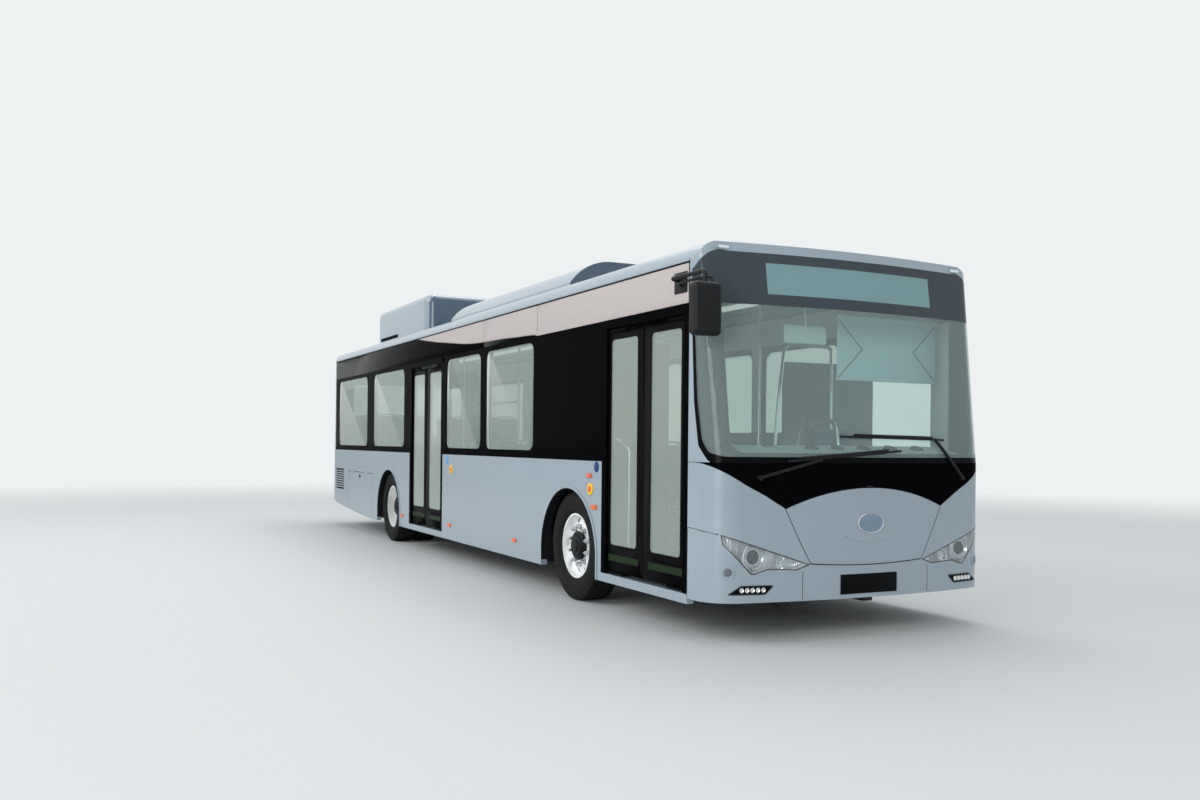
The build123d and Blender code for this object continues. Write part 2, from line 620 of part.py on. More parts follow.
# Floor: flat low floor up to the step, then the raised floor over the drive axle
FRONT_FLOOR_X = 5500
RAMP_T = 8
RAMP_DEPTH = 900
RAMP_EDGE = 220
RAMP_X = (MID_DOOR_REAR_X + RAMP_EDGE, MID_DOOR_REAR_X + DOOR_W - RAMP_EDGE)
with BuildPart() as floor:
    block((STEP_X, -WALL_IN_Y, FLOOR_Z - FLOOR_T), (FRONT_FLOOR_X, WALL_IN_Y, FLOOR_Z))
    block((REAR_SEAM_X, -WALL_IN_Y, REAR_FLOOR_Z - FLOOR_T), (STEP_X, WALL_IN_Y, REAR_FLOOR_Z))
    block((STEP_X - FLOOR_T, -WALL_IN_Y, FLOOR_Z - FLOOR_T), (STEP_X, WALL_IN_Y, REAR_FLOOR_Z))
    for middle, inner in ((FRONT_ARCH_X, FRONT_WELL_Y), (REAR_ARCH_X, REAR_WELL_Y)):
        for hand in (-1, 1):
            reach = sorted((hand * inner, hand * SIDE_Y))
            block((middle - ARCH_HALF, reach[0], 0), (middle + ARCH_HALF, reach[1], WELL_TOP_Z),
                  Mode.SUBTRACT)
    block((RAMP_X[0], -WALL_IN_Y, FLOOR_Z - RAMP_T), (RAMP_X[1], -WALL_IN_Y + RAMP_DEPTH, FLOOR_Z),
          Mode.SUBTRACT)
keep(floor, "floor")

# Wheel wells, and the equipment cabinets that stand on the front pair
CABINET_TOP_Z = (2240, 1500)
AXLE_PORT = 40
with BuildPart() as wheel_wells:
    for middle, inner in ((FRONT_ARCH_X, FRONT_WELL_Y), (REAR_ARCH_X, REAR_WELL_Y)):
        for hand in (-1, 1):
            reach = sorted((hand * inner, hand * WALL_IN_Y))
            block((middle - ARCH_HALF, reach[0], FLOOR_Z - FLOOR_T),
                  (middle + ARCH_HALF, reach[1], WELL_TOP_Z))
            hollow = sorted((hand * (inner + WELL_T), hand * SIDE_Y))
            block((middle - ARCH_HALF + WELL_T, hollow[0], 0),
                  (middle + ARCH_HALF - WELL_T, hollow[1], WELL_TOP_Z - WELL_T), Mode.SUBTRACT)
    with Locations(Location((REAR_AXLE_X, 0, TYRE_R), (90, 0, 0))):
        Cylinder(AXLE_TUBE_R + AXLE_PORT, BUS_WIDTH, mode=Mode.SUBTRACT)
    for hand, top in zip((-1, 1), CABINET_TOP_Z):
        reach = sorted((hand * FRONT_WELL_Y, hand * WALL_IN_Y))
        block((FRONT_ARCH_X - ARCH_HALF, reach[0], WELL_TOP_Z), (FRONT_ARCH_X + ARCH_HALF, reach[1], top))
keep(wheel_wells, "wheel_wells")

# Chassis rails under the low floor and under the raised rear floor, with cross members
RAIL_Y = 400
RAIL_W = 90
RAIL_H = 105
JACK_PAD_X = -3760
JACK_PAD_L = 120
JACK_PAD_W = 80
JACK_PAD_T = 12
AXLE_ROOM = 100
with BuildPart() as chassis_frame:
    for hand in (-1, 1):
        low_rail = sorted((hand * (RAIL_Y - RAIL_W / 2), hand * (RAIL_Y + RAIL_W / 2)))
        block((STEP_X - FLOOR_T, low_rail[0], FLOOR_Z - FLOOR_T - RAIL_H),
              (FRONT_FLOOR_X, low_rail[1], FLOOR_Z - FLOOR_T))
        block((REAR_SEAM_X, low_rail[0], REAR_FLOOR_Z - FLOOR_T - RAIL_H),
              (STEP_X - FLOOR_T, low_rail[1], REAR_FLOOR_Z - FLOOR_T))
        block((STEP_X - FLOOR_T - RAIL_H, low_rail[0], FLOOR_Z - FLOOR_T - RAIL_H),
              (STEP_X - FLOOR_T, low_rail[1], REAR_FLOOR_Z - FLOOR_T))
        block((JACK_PAD_X, hand * RAIL_Y - JACK_PAD_W / 2, REAR_FLOOR_Z - FLOOR_T - RAIL_H - JACK_PAD_T),
              (JACK_PAD_X + JACK_PAD_L, hand * RAIL_Y + JACK_PAD_W / 2, REAR_FLOOR_Z - FLOOR_T - RAIL_H))
    block((FRONT_AXLE_X - AXLE_ROOM, -WALL_IN_Y, 0), (FRONT_AXLE_X + AXLE_ROOM, WALL_IN_Y, FLOOR_Z),
          Mode.SUBTRACT)
    for place in (-400, 1100, 2500, 4700):
        block((place - RAIL_W / 2, -RAIL_Y, FLOOR_Z - FLOOR_T - RAIL_H),
              (place + RAIL_W / 2, RAIL_Y, FLOOR_Z - FLOOR_T))
    for place in (-5400, -3700):
        block((place - RAIL_W / 2, -RAIL_Y, REAR_FLOOR_Z - FLOOR_T - RAIL_H),
              (place + RAIL_W / 2, RAIL_Y, REAR_FLOOR_Z - FLOOR_T))
keep(chassis_frame, "chassis_frame")

# Traction battery: one block in the tail, on the raised floor behind the rear seats
BATTERY = ((-5780, -900, REAR_FLOOR_Z), (-5330, 900, 1280))
with BuildPart() as traction_battery:
    block(*BATTERY)
keep(traction_battery, "traction_battery")


# Wheels: radial tyres on pressed rims; singles in front, twins behind
SIDEWALL_BULGE = 95


def tyre_profile():
    half = TYRE_W / 2
    bead = (RIM_W / 2, RIM_R)
    bulge = (half, RIM_R + SIDEWALL_BULGE)
    shoulder = (half - 16, TYRE_R - 22)
    corner = (half - 22, TYRE_R - 7)
    tread = (half - 38, TYRE_R)
    with BuildSketch(Plane.YZ) as section:
        with BuildLine():
            outer = ThreePointArc(bead, bulge, shoulder)
            edge = ThreePointArc(shoulder, corner, tread)
            mirror([outer, edge], about=Plane.YZ)
            Line(tread, (-tread[0], tread[1]))
            Line(bead, (-bead[0], bead[1]))
        make_face()
    return section.sketch


BARREL_R = RIM_R - FIT
BARREL_T = 14
DISC_T = 16
DISH_R = 196
HAND_HOLE_R = 27
HAND_HOLES = 10
HAND_HOLE_PCD = 460
HUB_R = 118
CAP_R = 92


def rim_solid(middle, root, disc, hub_from, hub_to, cap):
    """Barrel, dished disc and hub of one rim; places run along the axle, outwards."""
    bore = SPINDLE_R + RUN_FIT
    barrel_in = BARREL_R - BARREL_T
    with BuildPart() as rim:
        with BuildSketch(Plane.YZ) as section:
            with Locations((middle, BARREL_R - BARREL_T / 2)):
                Rectangle(RIM_W, BARREL_T)
            with BuildLine():
                Polyline((disc, bore), (disc + DISC_T, bore), (disc + DISC_T, DISH_R),
                         (root + DISC_T, barrel_in + 2), (root, barrel_in + 2), (disc, DISH_R), close=True)
            make_face()
            with Locations(((hub_from + hub_to) / 2, (bore + HUB_R) / 2)):
                Rectangle(hub_to - hub_from, HUB_R - bore)
            if cap:
                with Locations((hub_to + cap / 2, CAP_R / 2)):
                    Rectangle(cap, CAP_R)
        revolve(section.sketch, axis=Axis.Y)
        with BuildSketch(Plane.XZ) as holes:
            with PolarLocations(HAND_HOLE_PCD / 2, HAND_HOLES):
                Circle(HAND_HOLE_R)
        extrude(holes.sketch, amount=BUS_WIDTH, both=True, mode=Mode.SUBTRACT)
    return rim.part


FRONT_HUB_OUT = 78
FRONT_DISC = 42
FRONT_ROOT = 6
FRONT_HUB_IN = -20
HUB_CAP = 28
with BuildPart() as front_tyre:
    revolve(tyre_profile(), axis=Axis.Y)
front_rim = rim_solid(0, FRONT_ROOT, FRONT_DISC, FRONT_HUB_IN, FRONT_HUB_OUT, HUB_CAP)

TWIN_IN = -TWIN_PITCH
TWIN_FACE = -TWIN_PITCH / 2
TWIN_ROOT = -88
REAR_HUB_OUT = -20
with BuildPart() as twin_tyres:
    with Locations((0, 0, 0), (0, TWIN_IN, 0)):
        add(front_tyre.part)
with BuildPart() as twin_rims:
    add(rim_solid(0, TWIN_ROOT, TWIN_FACE, TWIN_FACE, REAR_HUB_OUT, HUB_CAP))
    inner_disc = TWIN_FACE - DISC_T
    add(rim_solid(TWIN_IN, TWIN_IN - TWIN_ROOT - DISC_T, inner_disc, inner_disc, TWIN_FACE, 0))


def fit_wheel(solid, name, x, hand):
    """Place a wheel piece made for the left side; the right side gets it turned round."""
    with BuildPart() as placed:
        with Locations(Location((x, hand * WHEEL_Y, TYRE_R), (0, 0, 0 if hand > 0 else 180))):
            add(solid)
    keep(placed, name)


for hand, side in ((1, "left"), (-1, "right")):
    fit_wheel(front_tyre.part, f"front_tyre_{side}", FRONT_AXLE_X, hand)
    fit_wheel(front_rim, f"front_rim_{side}", FRONT_AXLE_X, hand)
    fit_wheel(twin_tyres.part, f"rear_tyres_{side}", REAR_AXLE_X, hand)
    fit_wheel(twin_rims.part, f"rear_rims_{side}", REAR_AXLE_X, hand)

# Front axle: low beam with forked ends, and a steering knuckle on each kingpin
KINGPIN_R = 20
KNUCKLE_R = 44
KNUCKLE_HALF = 95
EAR_T = 30
BEAM_R = 50
BEAM_Z = FLOOR_Z - FLOOR_T - 15 - BEAM_R
AXLE_GAP = 1
FORK_Y = (KINGPIN_Y - 190, KINGPIN_Y - 110)
SPRING_PAD_Y = 480
EAR_BOTTOMS_Z = (TYRE_R - KNUCKLE_HALF - AXLE_GAP - EAR_T, TYRE_R + KNUCKLE_HALF + AXLE_GAP)
with BuildPart() as front_axle:
    with Locations(Location((FRONT_AXLE_X, 0, BEAM_Z), (90, 0, 0))):
        Cylinder(BEAM_R, FORK_Y[0] + FORK_Y[1])
    for hand in (-1, 1):
        with Locations((FRONT_AXLE_X, hand * KINGPIN_Y, TYRE_R)):
            Cylinder(KINGPIN_R, 2 * (KNUCKLE_HALF + AXLE_GAP))
        ear_y = sorted((hand * FORK_Y[0], hand * (KINGPIN_Y + KNUCKLE_R)))
        for bottom in EAR_BOTTOMS_Z:
            block((FRONT_AXLE_X - KNUCKLE_R, ear_y[0], bottom),
                  (FRONT_AXLE_X + KNUCKLE_R, ear_y[1], bottom + EAR_T))
        fork_y = sorted((hand * FORK_Y[0], hand * FORK_Y[1]))
        block((FRONT_AXLE_X - KNUCKLE_R, fork_y[0], BEAM_Z - BEAM_R / 2),
              (FRONT_AXLE_X + KNUCKLE_R, fork_y[1], EAR_BOTTOMS_Z[1] + EAR_T))
        block((FRONT_AXLE_X - BEAM_R, hand * SPRING_PAD_Y - BEAM_R, BEAM_Z),
              (FRONT_AXLE_X + BEAM_R, hand * SPRING_PAD_Y + BEAM_R, FLOOR_Z - FLOOR_T))
keep(front_axle, "front_axle")

for hand, side in ((1, "left"), (-1, "right")):
    with BuildPart() as knuckle:
        with Locations((FRONT_AXLE_X, hand * KINGPIN_Y, TYRE_R)):
            Cylinder(KNUCKLE_R, 2 * KNUCKLE_HALF)
        spindle = hand * (WHEEL_Y + FRONT_HUB_OUT - 2)
        with Locations(Location((FRONT_AXLE_X, (hand * KINGPIN_Y + spindle) / 2, TYRE_R), (90, 0, 0))):
            Cylinder(SPINDLE_R, abs(spindle - hand * KINGPIN_Y))
        with Locations((FRONT_AXLE_X, hand * KINGPIN_Y, TYRE_R)):
            Cylinder(KINGPIN_R + RUN_FIT, 2 * KNUCKLE_HALF, mode=Mode.SUBTRACT)
    keep(knuckle, f"knuckle_{side}")

# Rear axle: portal tube with a drive motor on each side of the middle
MOTOR_R = 168
MOTOR_L = 220
MOTOR_Y = 232
with BuildPart() as rear_axle:
    with Locations(Location((REAR_AXLE_X, 0, TYRE_R), (90, 0, 0))):
        Cylinder(AXLE_TUBE_R, 2 * (WHEEL_Y - TWIN_PITCH / 2 - DISC_T - 45))
        Cylinder(SPINDLE_R, 2 * (WHEEL_Y + REAR_HUB_OUT - 2))
    for hand in (-1, 1):
        with Locations(Location((REAR_AXLE_X, hand * MOTOR_Y, TYRE_R), (90, 0, 0))):
            Cylinder(MOTOR_R, MOTOR_L)
        block((REAR_AXLE_X - AXLE_TUBE_R / 2, hand * RAIL_Y - RAIL_W / 2, TYRE_R),
              (REAR_AXLE_X + AXLE_TUBE_R / 2, hand * RAIL_Y + RAIL_W / 2, REAR_FLOOR_Z - FLOOR_T - RAIL_H))
keep(rear_axle, "rear_axle")


# Doors: portals, and twin leaves that glide inwards on turning posts
def portal(rear):
    """Frame round one doorway, standing on the skirt, with the drive housing over the leaves."""
    front = rear + DOOR_W
    cover = JAMB_W + 2 * LEAF_GAP + 2 * POST_R
    block((rear, -SIDE_Y, FLOOR_Z), (front, -WALL_IN_Y, DOOR_TOP_Z))
    block((rear, -WALL_IN_Y, HEADER_Z), (front, -SIDE_Y + HEADER_DEPTH, DOOR_TOP_Z + 80))
    block((rear, -SIDE_Y - HEADER_PROUD, HEADER_Z), (front, -SIDE_Y, DOOR_TOP_Z))
    block((rear + JAMB_W, -SIDE_Y, FLOOR_Z), (front - JAMB_W, -WALL_IN_Y, HEADER_Z), Mode.SUBTRACT)
    block((rear + JAMB_W, -SIDE_Y, FLOOR_Z), (rear + cover - LEAF_GAP, -SIDE_Y + LEAF_RECESS - 4, HEADER_Z))
    block((front - cover + LEAF_GAP, -SIDE_Y, FLOOR_Z), (front - JAMB_W, -SIDE_Y + LEAF_RECESS - 4, HEADER_Z))
    track = JAMB_W + 2 * POST_R + 60
    block((rear + track, -LEAF_Y - 17, HEADER_Z), (front - track, -LEAF_Y + 17, HEADER_Z + 26), Mode.SUBTRACT)


with BuildPart() as door_portals:
    for rear, front in DOOR_SPANS:
        portal(rear)
keep(door_portals, "door_portals")

STILE = 45
MEETING_STILE = 98
GLASS_BOTTOM_Z = 550
GLASS_TOP_Z = 2240
ARM_LOW_Z = LEAF_BOTTOM_Z - 7 - ARM_T
ARM_HIGH_Z = LEAF_TOP_Z + 7
ROLLER_R = 11
GRAB_R = 14
GRAB_OFF = 62
GRAB_TOP_Z = 1420
GRAB_FOOT_Z = 500
GRAB_IN = 165
GRAB_BEND_R = 55


def door_side(rear, turn):
    """Post axis of a leaf; turn is 1 for the rear leaf and -1 for the front leaf."""
    inset = JAMB_W + LEAF_GAP + POST_R
    return rear + inset if turn > 0 else rear + DOOR_W - inset


def door_post(axis_x, turn, name):
    eye_x = axis_x + turn * DOOR_ARM
    with BuildPart() as post:
        with Locations((axis_x, -LEAF_Y, (FLOOR_Z + HEADER_Z) / 2)):
            Cylinder(POST_R, HEADER_Z - FLOOR_Z - 2 * FIT)
        for level in (ARM_LOW_Z, ARM_HIGH_Z):
            with BuildSketch(Plane.XY.offset(level)):
                with Locations(((axis_x + eye_x) / 2, -LEAF_Y)):
                    SlotCenterToCenter(DOOR_ARM, 2 * POST_R)
                with Locations((eye_x, -LEAF_Y)):
                    Circle(PIN_R + RUN_FIT, mode=Mode.SUBTRACT)
            extrude(amount=ARM_T)
    keep(post, name)


def door_leaf(axis_x, turn, name):
    trailing = axis_x + turn * (POST_R + LEAF_GAP)
    meeting = axis_x + turn * (DOOR_W / 2 - JAMB_W - LEAF_GAP - POST_R - LEAF_GAP / 2)
    eye_x = axis_x + turn * DOOR_ARM
    roller_x = axis_x + turn * 2 * DOOR_ARM
    glass_x = sorted((trailing + turn * STILE, meeting - turn * MEETING_STILE))
    edges = sorted((trailing, meeting))
    outside = -LEAF_Y - LEAF_T / 2
    with BuildPart() as leaf:
        block((edges[0], outside, LEAF_BOTTOM_Z), (edges[1], outside + LEAF_T, LEAF_TOP_Z))
        block((glass_x[0], outside, GLASS_BOTTOM_Z), (glass_x[1], outside + LEAF_T, GLASS_TOP_Z),
              Mode.SUBTRACT)
        for low, high in ((ARM_LOW_Z - 1, LEAF_BOTTOM_Z), (LEAF_TOP_Z, ARM_HIGH_Z + ARM_T + 1)):
            with Locations((eye_x, -LEAF_Y, (low + high) / 2)):
                Cylinder(PIN_R, high - low)
        with Locations((roller_x, -LEAF_Y, (LEAF_TOP_Z + HEADER_Z + 16) / 2)):
            Cylinder(PIN_R / 2, HEADER_Z + 16 - LEAF_TOP_Z)
        with Locations((roller_x, -LEAF_Y, HEADER_Z + 10)):
            Cylinder(ROLLER_R, 12)
        stile_x = trailing + turn * STILE / 2
        rail_x = stile_x + turn * GRAB_IN
        off = outside + LEAF_T + GRAB_OFF
        route = [(stile_x, -LEAF_Y, GRAB_TOP_Z), (stile_x, off, GRAB_TOP_Z),
                 (rail_x, off, GRAB_TOP_Z - GRAB_IN / 2), (rail_x, off, GRAB_FOOT_Z),
                 (rail_x, -LEAF_Y, GRAB_FOOT_Z)]
        with BuildLine() as rail_line:
            FilletPolyline(*route, radius=GRAB_BEND_R)
        with BuildSketch(Plane(origin=rail_line.line @ 0, z_dir=rail_line.line % 0)):
            Circle(GRAB_R)
        sweep()
    keep(leaf, f"{name}_frame")
    with BuildPart() as pane:
        block((glass_x[0], outside, GLASS_BOTTOM_Z), (glass_x[1], outside + GLASS_T, GLASS_TOP_Z))
    keep(pane, f"{name}_glass")


for rear, door in ((FRONT_DOOR_REAR_X, "front_door"), (MID_DOOR_REAR_X, "mid_door")):
    for turn, end in ((1, "rear"), (-1, "front")):
        axis_x = door_side(rear, turn)
        door_post(axis_x, turn, f"{door}_post_{end}")
        door_leaf(axis_x, turn, f"{door}_leaf_{end}")

# Folding wheelchair ramp, lying flat on the floor inside the middle door
with BuildPart() as ramp:
    block((RAMP_X[0] + FIT, -WALL_IN_Y, FLOOR_Z - RAMP_T),
          (RAMP_X[1] - FIT, -WALL_IN_Y + RAMP_DEPTH - FIT, FLOOR_Z))
keep(ramp, "ramp")


# Roof pods: battery pod with arched flanks in front, tall air-conditioning pod behind
POD_HALF = 1000
POD_FLAT_Y = 560
POD_SILL_Z = 2900
BATTERY_POD_X = (-625, 2900)
BATTERY_POD_Z = 3130
POD_JOINTS_X = (560, 1750)
POD_JOINT = (14, 7)
with BuildPart() as roof_pod_front:
    with BuildSketch(Plane.YZ.offset(BATTERY_POD_X[0])):
        with BuildLine():
            Polyline((-POD_HALF, POD_SILL_Z), (-POD_HALF, ROOF_Z), (POD_HALF, ROOF_Z), (POD_HALF, POD_SILL_Z))
            Line((-POD_FLAT_Y, BATTERY_POD_Z), (POD_FLAT_Y, BATTERY_POD_Z))
            for hand in (-1, 1):
                shoulder = (hand * POD_FLAT_Y, BATTERY_POD_Z)
                TangentArc(shoulder, (hand * POD_HALF, POD_SILL_Z), tangent=(hand, 0))
        make_face()
    extrude(amount=BATTERY_POD_X[1] - BATTERY_POD_X[0])
    for place in POD_JOINTS_X:
        block((place - POD_JOINT[0] / 2, -POD_FLAT_Y, BATTERY_POD_Z - POD_JOINT[1]),
              (place + POD_JOINT[0] / 2, POD_FLAT_Y, BATTERY_POD_Z), Mode.SUBTRACT)
keep(roof_pod_front, "roof_pod_front")

COOLING_POD_X = (-4210, -1650)
COOLING_POD_Z = 3357
COOLING_POD_CORNER_R = 150
COOLING_POD_EDGE_R = 110
VENT_X = (-4000, -3050)
VENT_Z = (2885, 2935)
VENT_DEPTH = 40
with BuildPart() as roof_pod_rear:
    with BuildSketch(Plane.XY.offset(ROOF_Z)):
        with Locations((sum(COOLING_POD_X) / 2, 0)):
            RectangleRounded(COOLING_POD_X[1] - COOLING_POD_X[0], 2 * POD_HALF, COOLING_POD_CORNER_R)
    extrude(amount=COOLING_POD_Z - ROOF_Z)
    fillet(roof_pod_rear.faces().sort_by(Axis.Z)[-1].edges(), radius=COOLING_POD_EDGE_R)
    for hand in (-1, 1):
        mouth = sorted((hand * (POD_HALF - VENT_DEPTH), hand * POD_HALF))
        block((VENT_X[0], mouth[0], VENT_Z[0]), (VENT_X[1], mouth[1], VENT_Z[1]), Mode.SUBTRACT)
keep(roof_pod_rear, "roof_pod_rear")

# Mirrors: a housing on a bent tube arm at each front corner
MIRROR_REACH = 1465
MIRROR_H = 364
MIRROR_D = 110
MIRROR_TOP_Z = 2488
ARM_R = 16
# Columns: side, arm foot x, housing x, housing width
MIRRORS = ((-1, 5400, 5885, 218), (1, 5150, 5400, 172))
MIRROR_EDGE_R = 35


def mirror_head(x, y, width):
    with BuildPart() as head:
        with Locations((x, y, MIRROR_TOP_Z - MIRROR_H / 2)):
            Box(MIRROR_D, width, MIRROR_H)
        fillet(head.edges(), radius=MIRROR_EDGE_R)
    return head.part


with BuildPart() as mirrors:
    for hand, foot_x, head_x, head_w in MIRRORS:
        head_y = hand * (MIRROR_REACH - head_w / 2)
        elbow_z = MIRROR_TOP_Z + 82
        route = [(foot_x, hand * SIDE_Y, elbow_z), (foot_x, hand * (SIDE_Y + 70), elbow_z),
                 (head_x, head_y, elbow_z), (head_x, head_y, MIRROR_TOP_Z - 20)]
        with BuildLine() as arm_line:
            FilletPolyline(*route, radius=45)
        with BuildSketch(Plane(origin=arm_line.line @ 0, z_dir=arm_line.line % 0)):
            Circle(ARM_R)
        sweep()
        add(mirror_head(head_x, head_y, head_w))
keep(mirrors, "mirrors")

# Destination display behind the top of the windscreen
SIGN_HALF = 760
SIGN_Z = (2462, 2686)
SIGN_D = 110
with BuildPart() as destination_sign:
    block((FRONT_SEAM_X - 60 - SIGN_D, -SIGN_HALF, SIGN_Z[0]), (FRONT_SEAM_X - 60, SIGN_HALF, CEILING_Z))
keep(destination_sign, "destination_sign")

# Driver's place: console, steering column and wheel, seat and partition on the left
DASH_REAR_X = 5430
DASH_FRONT_X = 5740
DASH_HALF = 1080
DASH_Z = (900, 1160)
STEER_Y = 700
STEER_POINT = (5270, STEER_Y, 1090)
with BuildPart() as dashboard:
    block((DASH_REAR_X, 250, FLOOR_Z), (FRONT_FLOOR_X, DASH_HALF, DASH_Z[0]))
    block((DASH_REAR_X, 150, DASH_Z[0]), (DASH_FRONT_X, DASH_HALF, DASH_Z[1]))
    block((FRONT_FLOOR_X + 80, -DASH_HALF + 120, DASH_Z[0]), (DASH_FRONT_X, 150, DASH_Z[1] - 60))
    with BuildLine() as column_line:
        Line((DASH_REAR_X + 60, STEER_Y, DASH_Z[0] + 60), STEER_POINT)
    with BuildSketch(Plane(origin=column_line.line @ 0, z_dir=column_line.line % 0)):
        Circle(32)
    sweep()
    with Locations(Plane(origin=STEER_POINT, z_dir=column_line.line % 0)):
        Torus(225, 15)
        Cylinder(60, 30)
        Box(440, 40, 14)
keep(dashboard, "dashboard")

SEAT_W = 430
PODIUM_Z = FLOOR_Z + 180
PARTITION_X = 4540


# Columns: forward of the seat's middle, above its foot
SEAT_PROFILE = ((-200, 0), (110, 0), (110, 360), (210, 380), (210, 450), (-140, 430), (-230, 1060),
                (-300, 1060), (-230, 380), (-200, 360))


def seat(x, y, base):
    """One seat facing forward: pedestal, cushion and back as a single bent shell."""
    with BuildSketch(Plane.XZ.offset(-y - SEAT_W / 2)) as profile:
        with BuildLine():
            Polyline(*[(x + ahead, base + up) for ahead, up in SEAT_PROFILE], close=True)
        make_face()
    extrude(profile.sketch, amount=SEAT_W)


# Columns: x of a row, height of its feet
SEAT_ROWS = ((2500, FLOOR_Z), (1700, FLOOR_Z), (900, FLOOR_Z),
             (-3500, REAR_FLOOR_Z), (-4300, REAR_FLOOR_Z), (-5000, REAR_FLOOR_Z))
SEAT_YS = (-960, -510, 510, 960)
with BuildPart() as passenger_seats:
    for x, base in SEAT_ROWS:
        for y in SEAT_YS:
            seat(x, y, base)
keep(passenger_seats, "passenger_seats")

with BuildPart() as driver_seat:
    block((PARTITION_X + 110, STEER_Y - 330, FLOOR_Z), (DASH_REAR_X, 1150, PODIUM_Z))
    seat(4890, STEER_Y, PODIUM_Z)
keep(driver_seat, "driver_seat")

with BuildPart() as driver_partition:
    block((PARTITION_X, 260, FLOOR_Z), (PARTITION_X + 40, WALL_IN_Y, 2100))
    block((PARTITION_X + 40, 260, FLOOR_Z), (5350, 300, 1150))
keep(driver_partition, "driver_partition")

# Grab poles between floor and ceiling, and long ceiling rails
POLE_R = 17
# Columns: x, y, foot height
POLES = ((4100, 330, FLOOR_Z), (2120, 300, FLOOR_Z), (2120, -300, FLOOR_Z), (500, 300, FLOOR_Z),
         (500, -300, FLOOR_Z), (-1600, 300, FLOOR_Z), (-3900, 300, REAR_FLOOR_Z), (-3900, -300, REAR_FLOOR_Z))
with BuildPart() as handrails:
    for x, y, foot in POLES:
        with Locations((x, y, (foot + CEILING_Z) / 2)):
            Cylinder(POLE_R, CEILING_Z - foot)
keep(handrails, "handrails")

# Amber side lamps and repeaters let into the lower panels
# Columns: x, height of the lamp's middle
SIDE_LAMPS = ((-4750, 640), (-1779, 400), (215, 420), (2245, 420), (4035, 850))
LAMP_SIZE = (95, 12, 38)
with BuildPart() as side_lamps:
    for x, z in SIDE_LAMPS:
        for hand in (-1, 1):
            if hand < 0 and FLAP_REAR_X < x < FLAP_FRONT_X:
                continue
            with Locations((x, hand * (SIDE_Y + LAMP_SIZE[1] / 2), z)):
                Box(*LAMP_SIZE)
keep(side_lamps, "side_lamps")
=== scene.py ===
"""Looks of a twelve metre low-floor electric city bus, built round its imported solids.

Metres, X forward, Z up.
"""

import json
import math

import bmesh
import bpy
from mathutils import Matrix, Vector
from mathutils.bvhtree import BVHTree

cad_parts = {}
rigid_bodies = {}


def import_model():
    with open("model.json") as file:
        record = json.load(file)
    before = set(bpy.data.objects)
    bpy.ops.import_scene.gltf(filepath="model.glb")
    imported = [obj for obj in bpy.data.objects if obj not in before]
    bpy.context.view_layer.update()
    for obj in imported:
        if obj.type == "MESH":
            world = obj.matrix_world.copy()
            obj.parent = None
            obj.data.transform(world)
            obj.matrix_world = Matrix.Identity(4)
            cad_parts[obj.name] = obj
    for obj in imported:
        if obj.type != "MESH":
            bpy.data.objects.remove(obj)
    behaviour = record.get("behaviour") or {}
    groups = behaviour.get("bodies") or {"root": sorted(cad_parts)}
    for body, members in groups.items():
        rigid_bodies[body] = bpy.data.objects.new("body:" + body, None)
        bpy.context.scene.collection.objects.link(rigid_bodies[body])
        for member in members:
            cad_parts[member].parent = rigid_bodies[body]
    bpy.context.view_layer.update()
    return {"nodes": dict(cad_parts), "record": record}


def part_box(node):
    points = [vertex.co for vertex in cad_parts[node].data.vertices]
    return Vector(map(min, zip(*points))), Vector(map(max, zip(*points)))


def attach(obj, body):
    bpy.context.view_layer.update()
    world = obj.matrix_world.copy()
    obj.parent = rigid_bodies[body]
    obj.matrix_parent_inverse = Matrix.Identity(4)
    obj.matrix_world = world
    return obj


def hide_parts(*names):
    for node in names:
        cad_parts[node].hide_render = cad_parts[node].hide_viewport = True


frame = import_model()
scene = bpy.context.scene
scene.view_settings.view_transform = "Standard"

# Studio: a plain pale floor under an even pale sky, lit by four large soft lamps: one over the right side,
# a weak one before the front, an upright one off the right front corner and a wide one above the roof.
HAZE = "#EEF1F2"
FLOOR_HALF = 300
FLOOR_FADE = (7.0, 24.0)


def srgb(code):
    """Linear colour of an sRGB hex value."""
    parts = [int(code[i:i + 2], 16) / 255 for i in (1, 3, 5)]
    return (*[c / 12.92 if c <= 0.04045 else ((c + 0.055) / 1.055) ** 2.4 for c in parts], 1.0)


def shade(tree, kind, settings=None, **sockets):
    """Add one shader node; a socket takes a plain value or another node's output."""
    made = tree.nodes.new(kind)
    for name, value in (settings or {}).items():
        setattr(made, name, value)
    for name, value in sockets.items():
        socket = made.inputs[int(name[1:])] if name[0] == "_" else made.inputs[name.replace("_", " ")]
        if isinstance(value, bpy.types.NodeSocket):
            tree.links.new(value, socket)
        else:
            socket.default_value = value
    return made


def blank_finish(name):
    finish = bpy.data.materials.new(name)
    finish.use_nodes = True
    finish.node_tree.nodes.clear()
    return finish, finish.node_tree


def surface(tree, shader):
    shade(tree, "ShaderNodeOutputMaterial", Surface=shader)


def on_object(tree):
    return shade(tree, "ShaderNodeTexCoord").outputs["Object"]


def clamped_sum(tree, first, second):
    settings = {"operation": "ADD", "use_clamp": True}
    return shade(tree, "ShaderNodeMath", settings, _0=first, _1=second).outputs[0]


def two_tone(tree, share, first, second):
    """A colour between two linear ones."""
    mix = shade(tree, "ShaderNodeMix", {"data_type": "RGBA"}, Factor=share, _6=first, _7=second)
    return mix.outputs[2]


def mixed(tree, share, first, second):
    return shade(tree, "ShaderNodeMixShader", Fac=share, _1=first, _2=second).outputs[0]


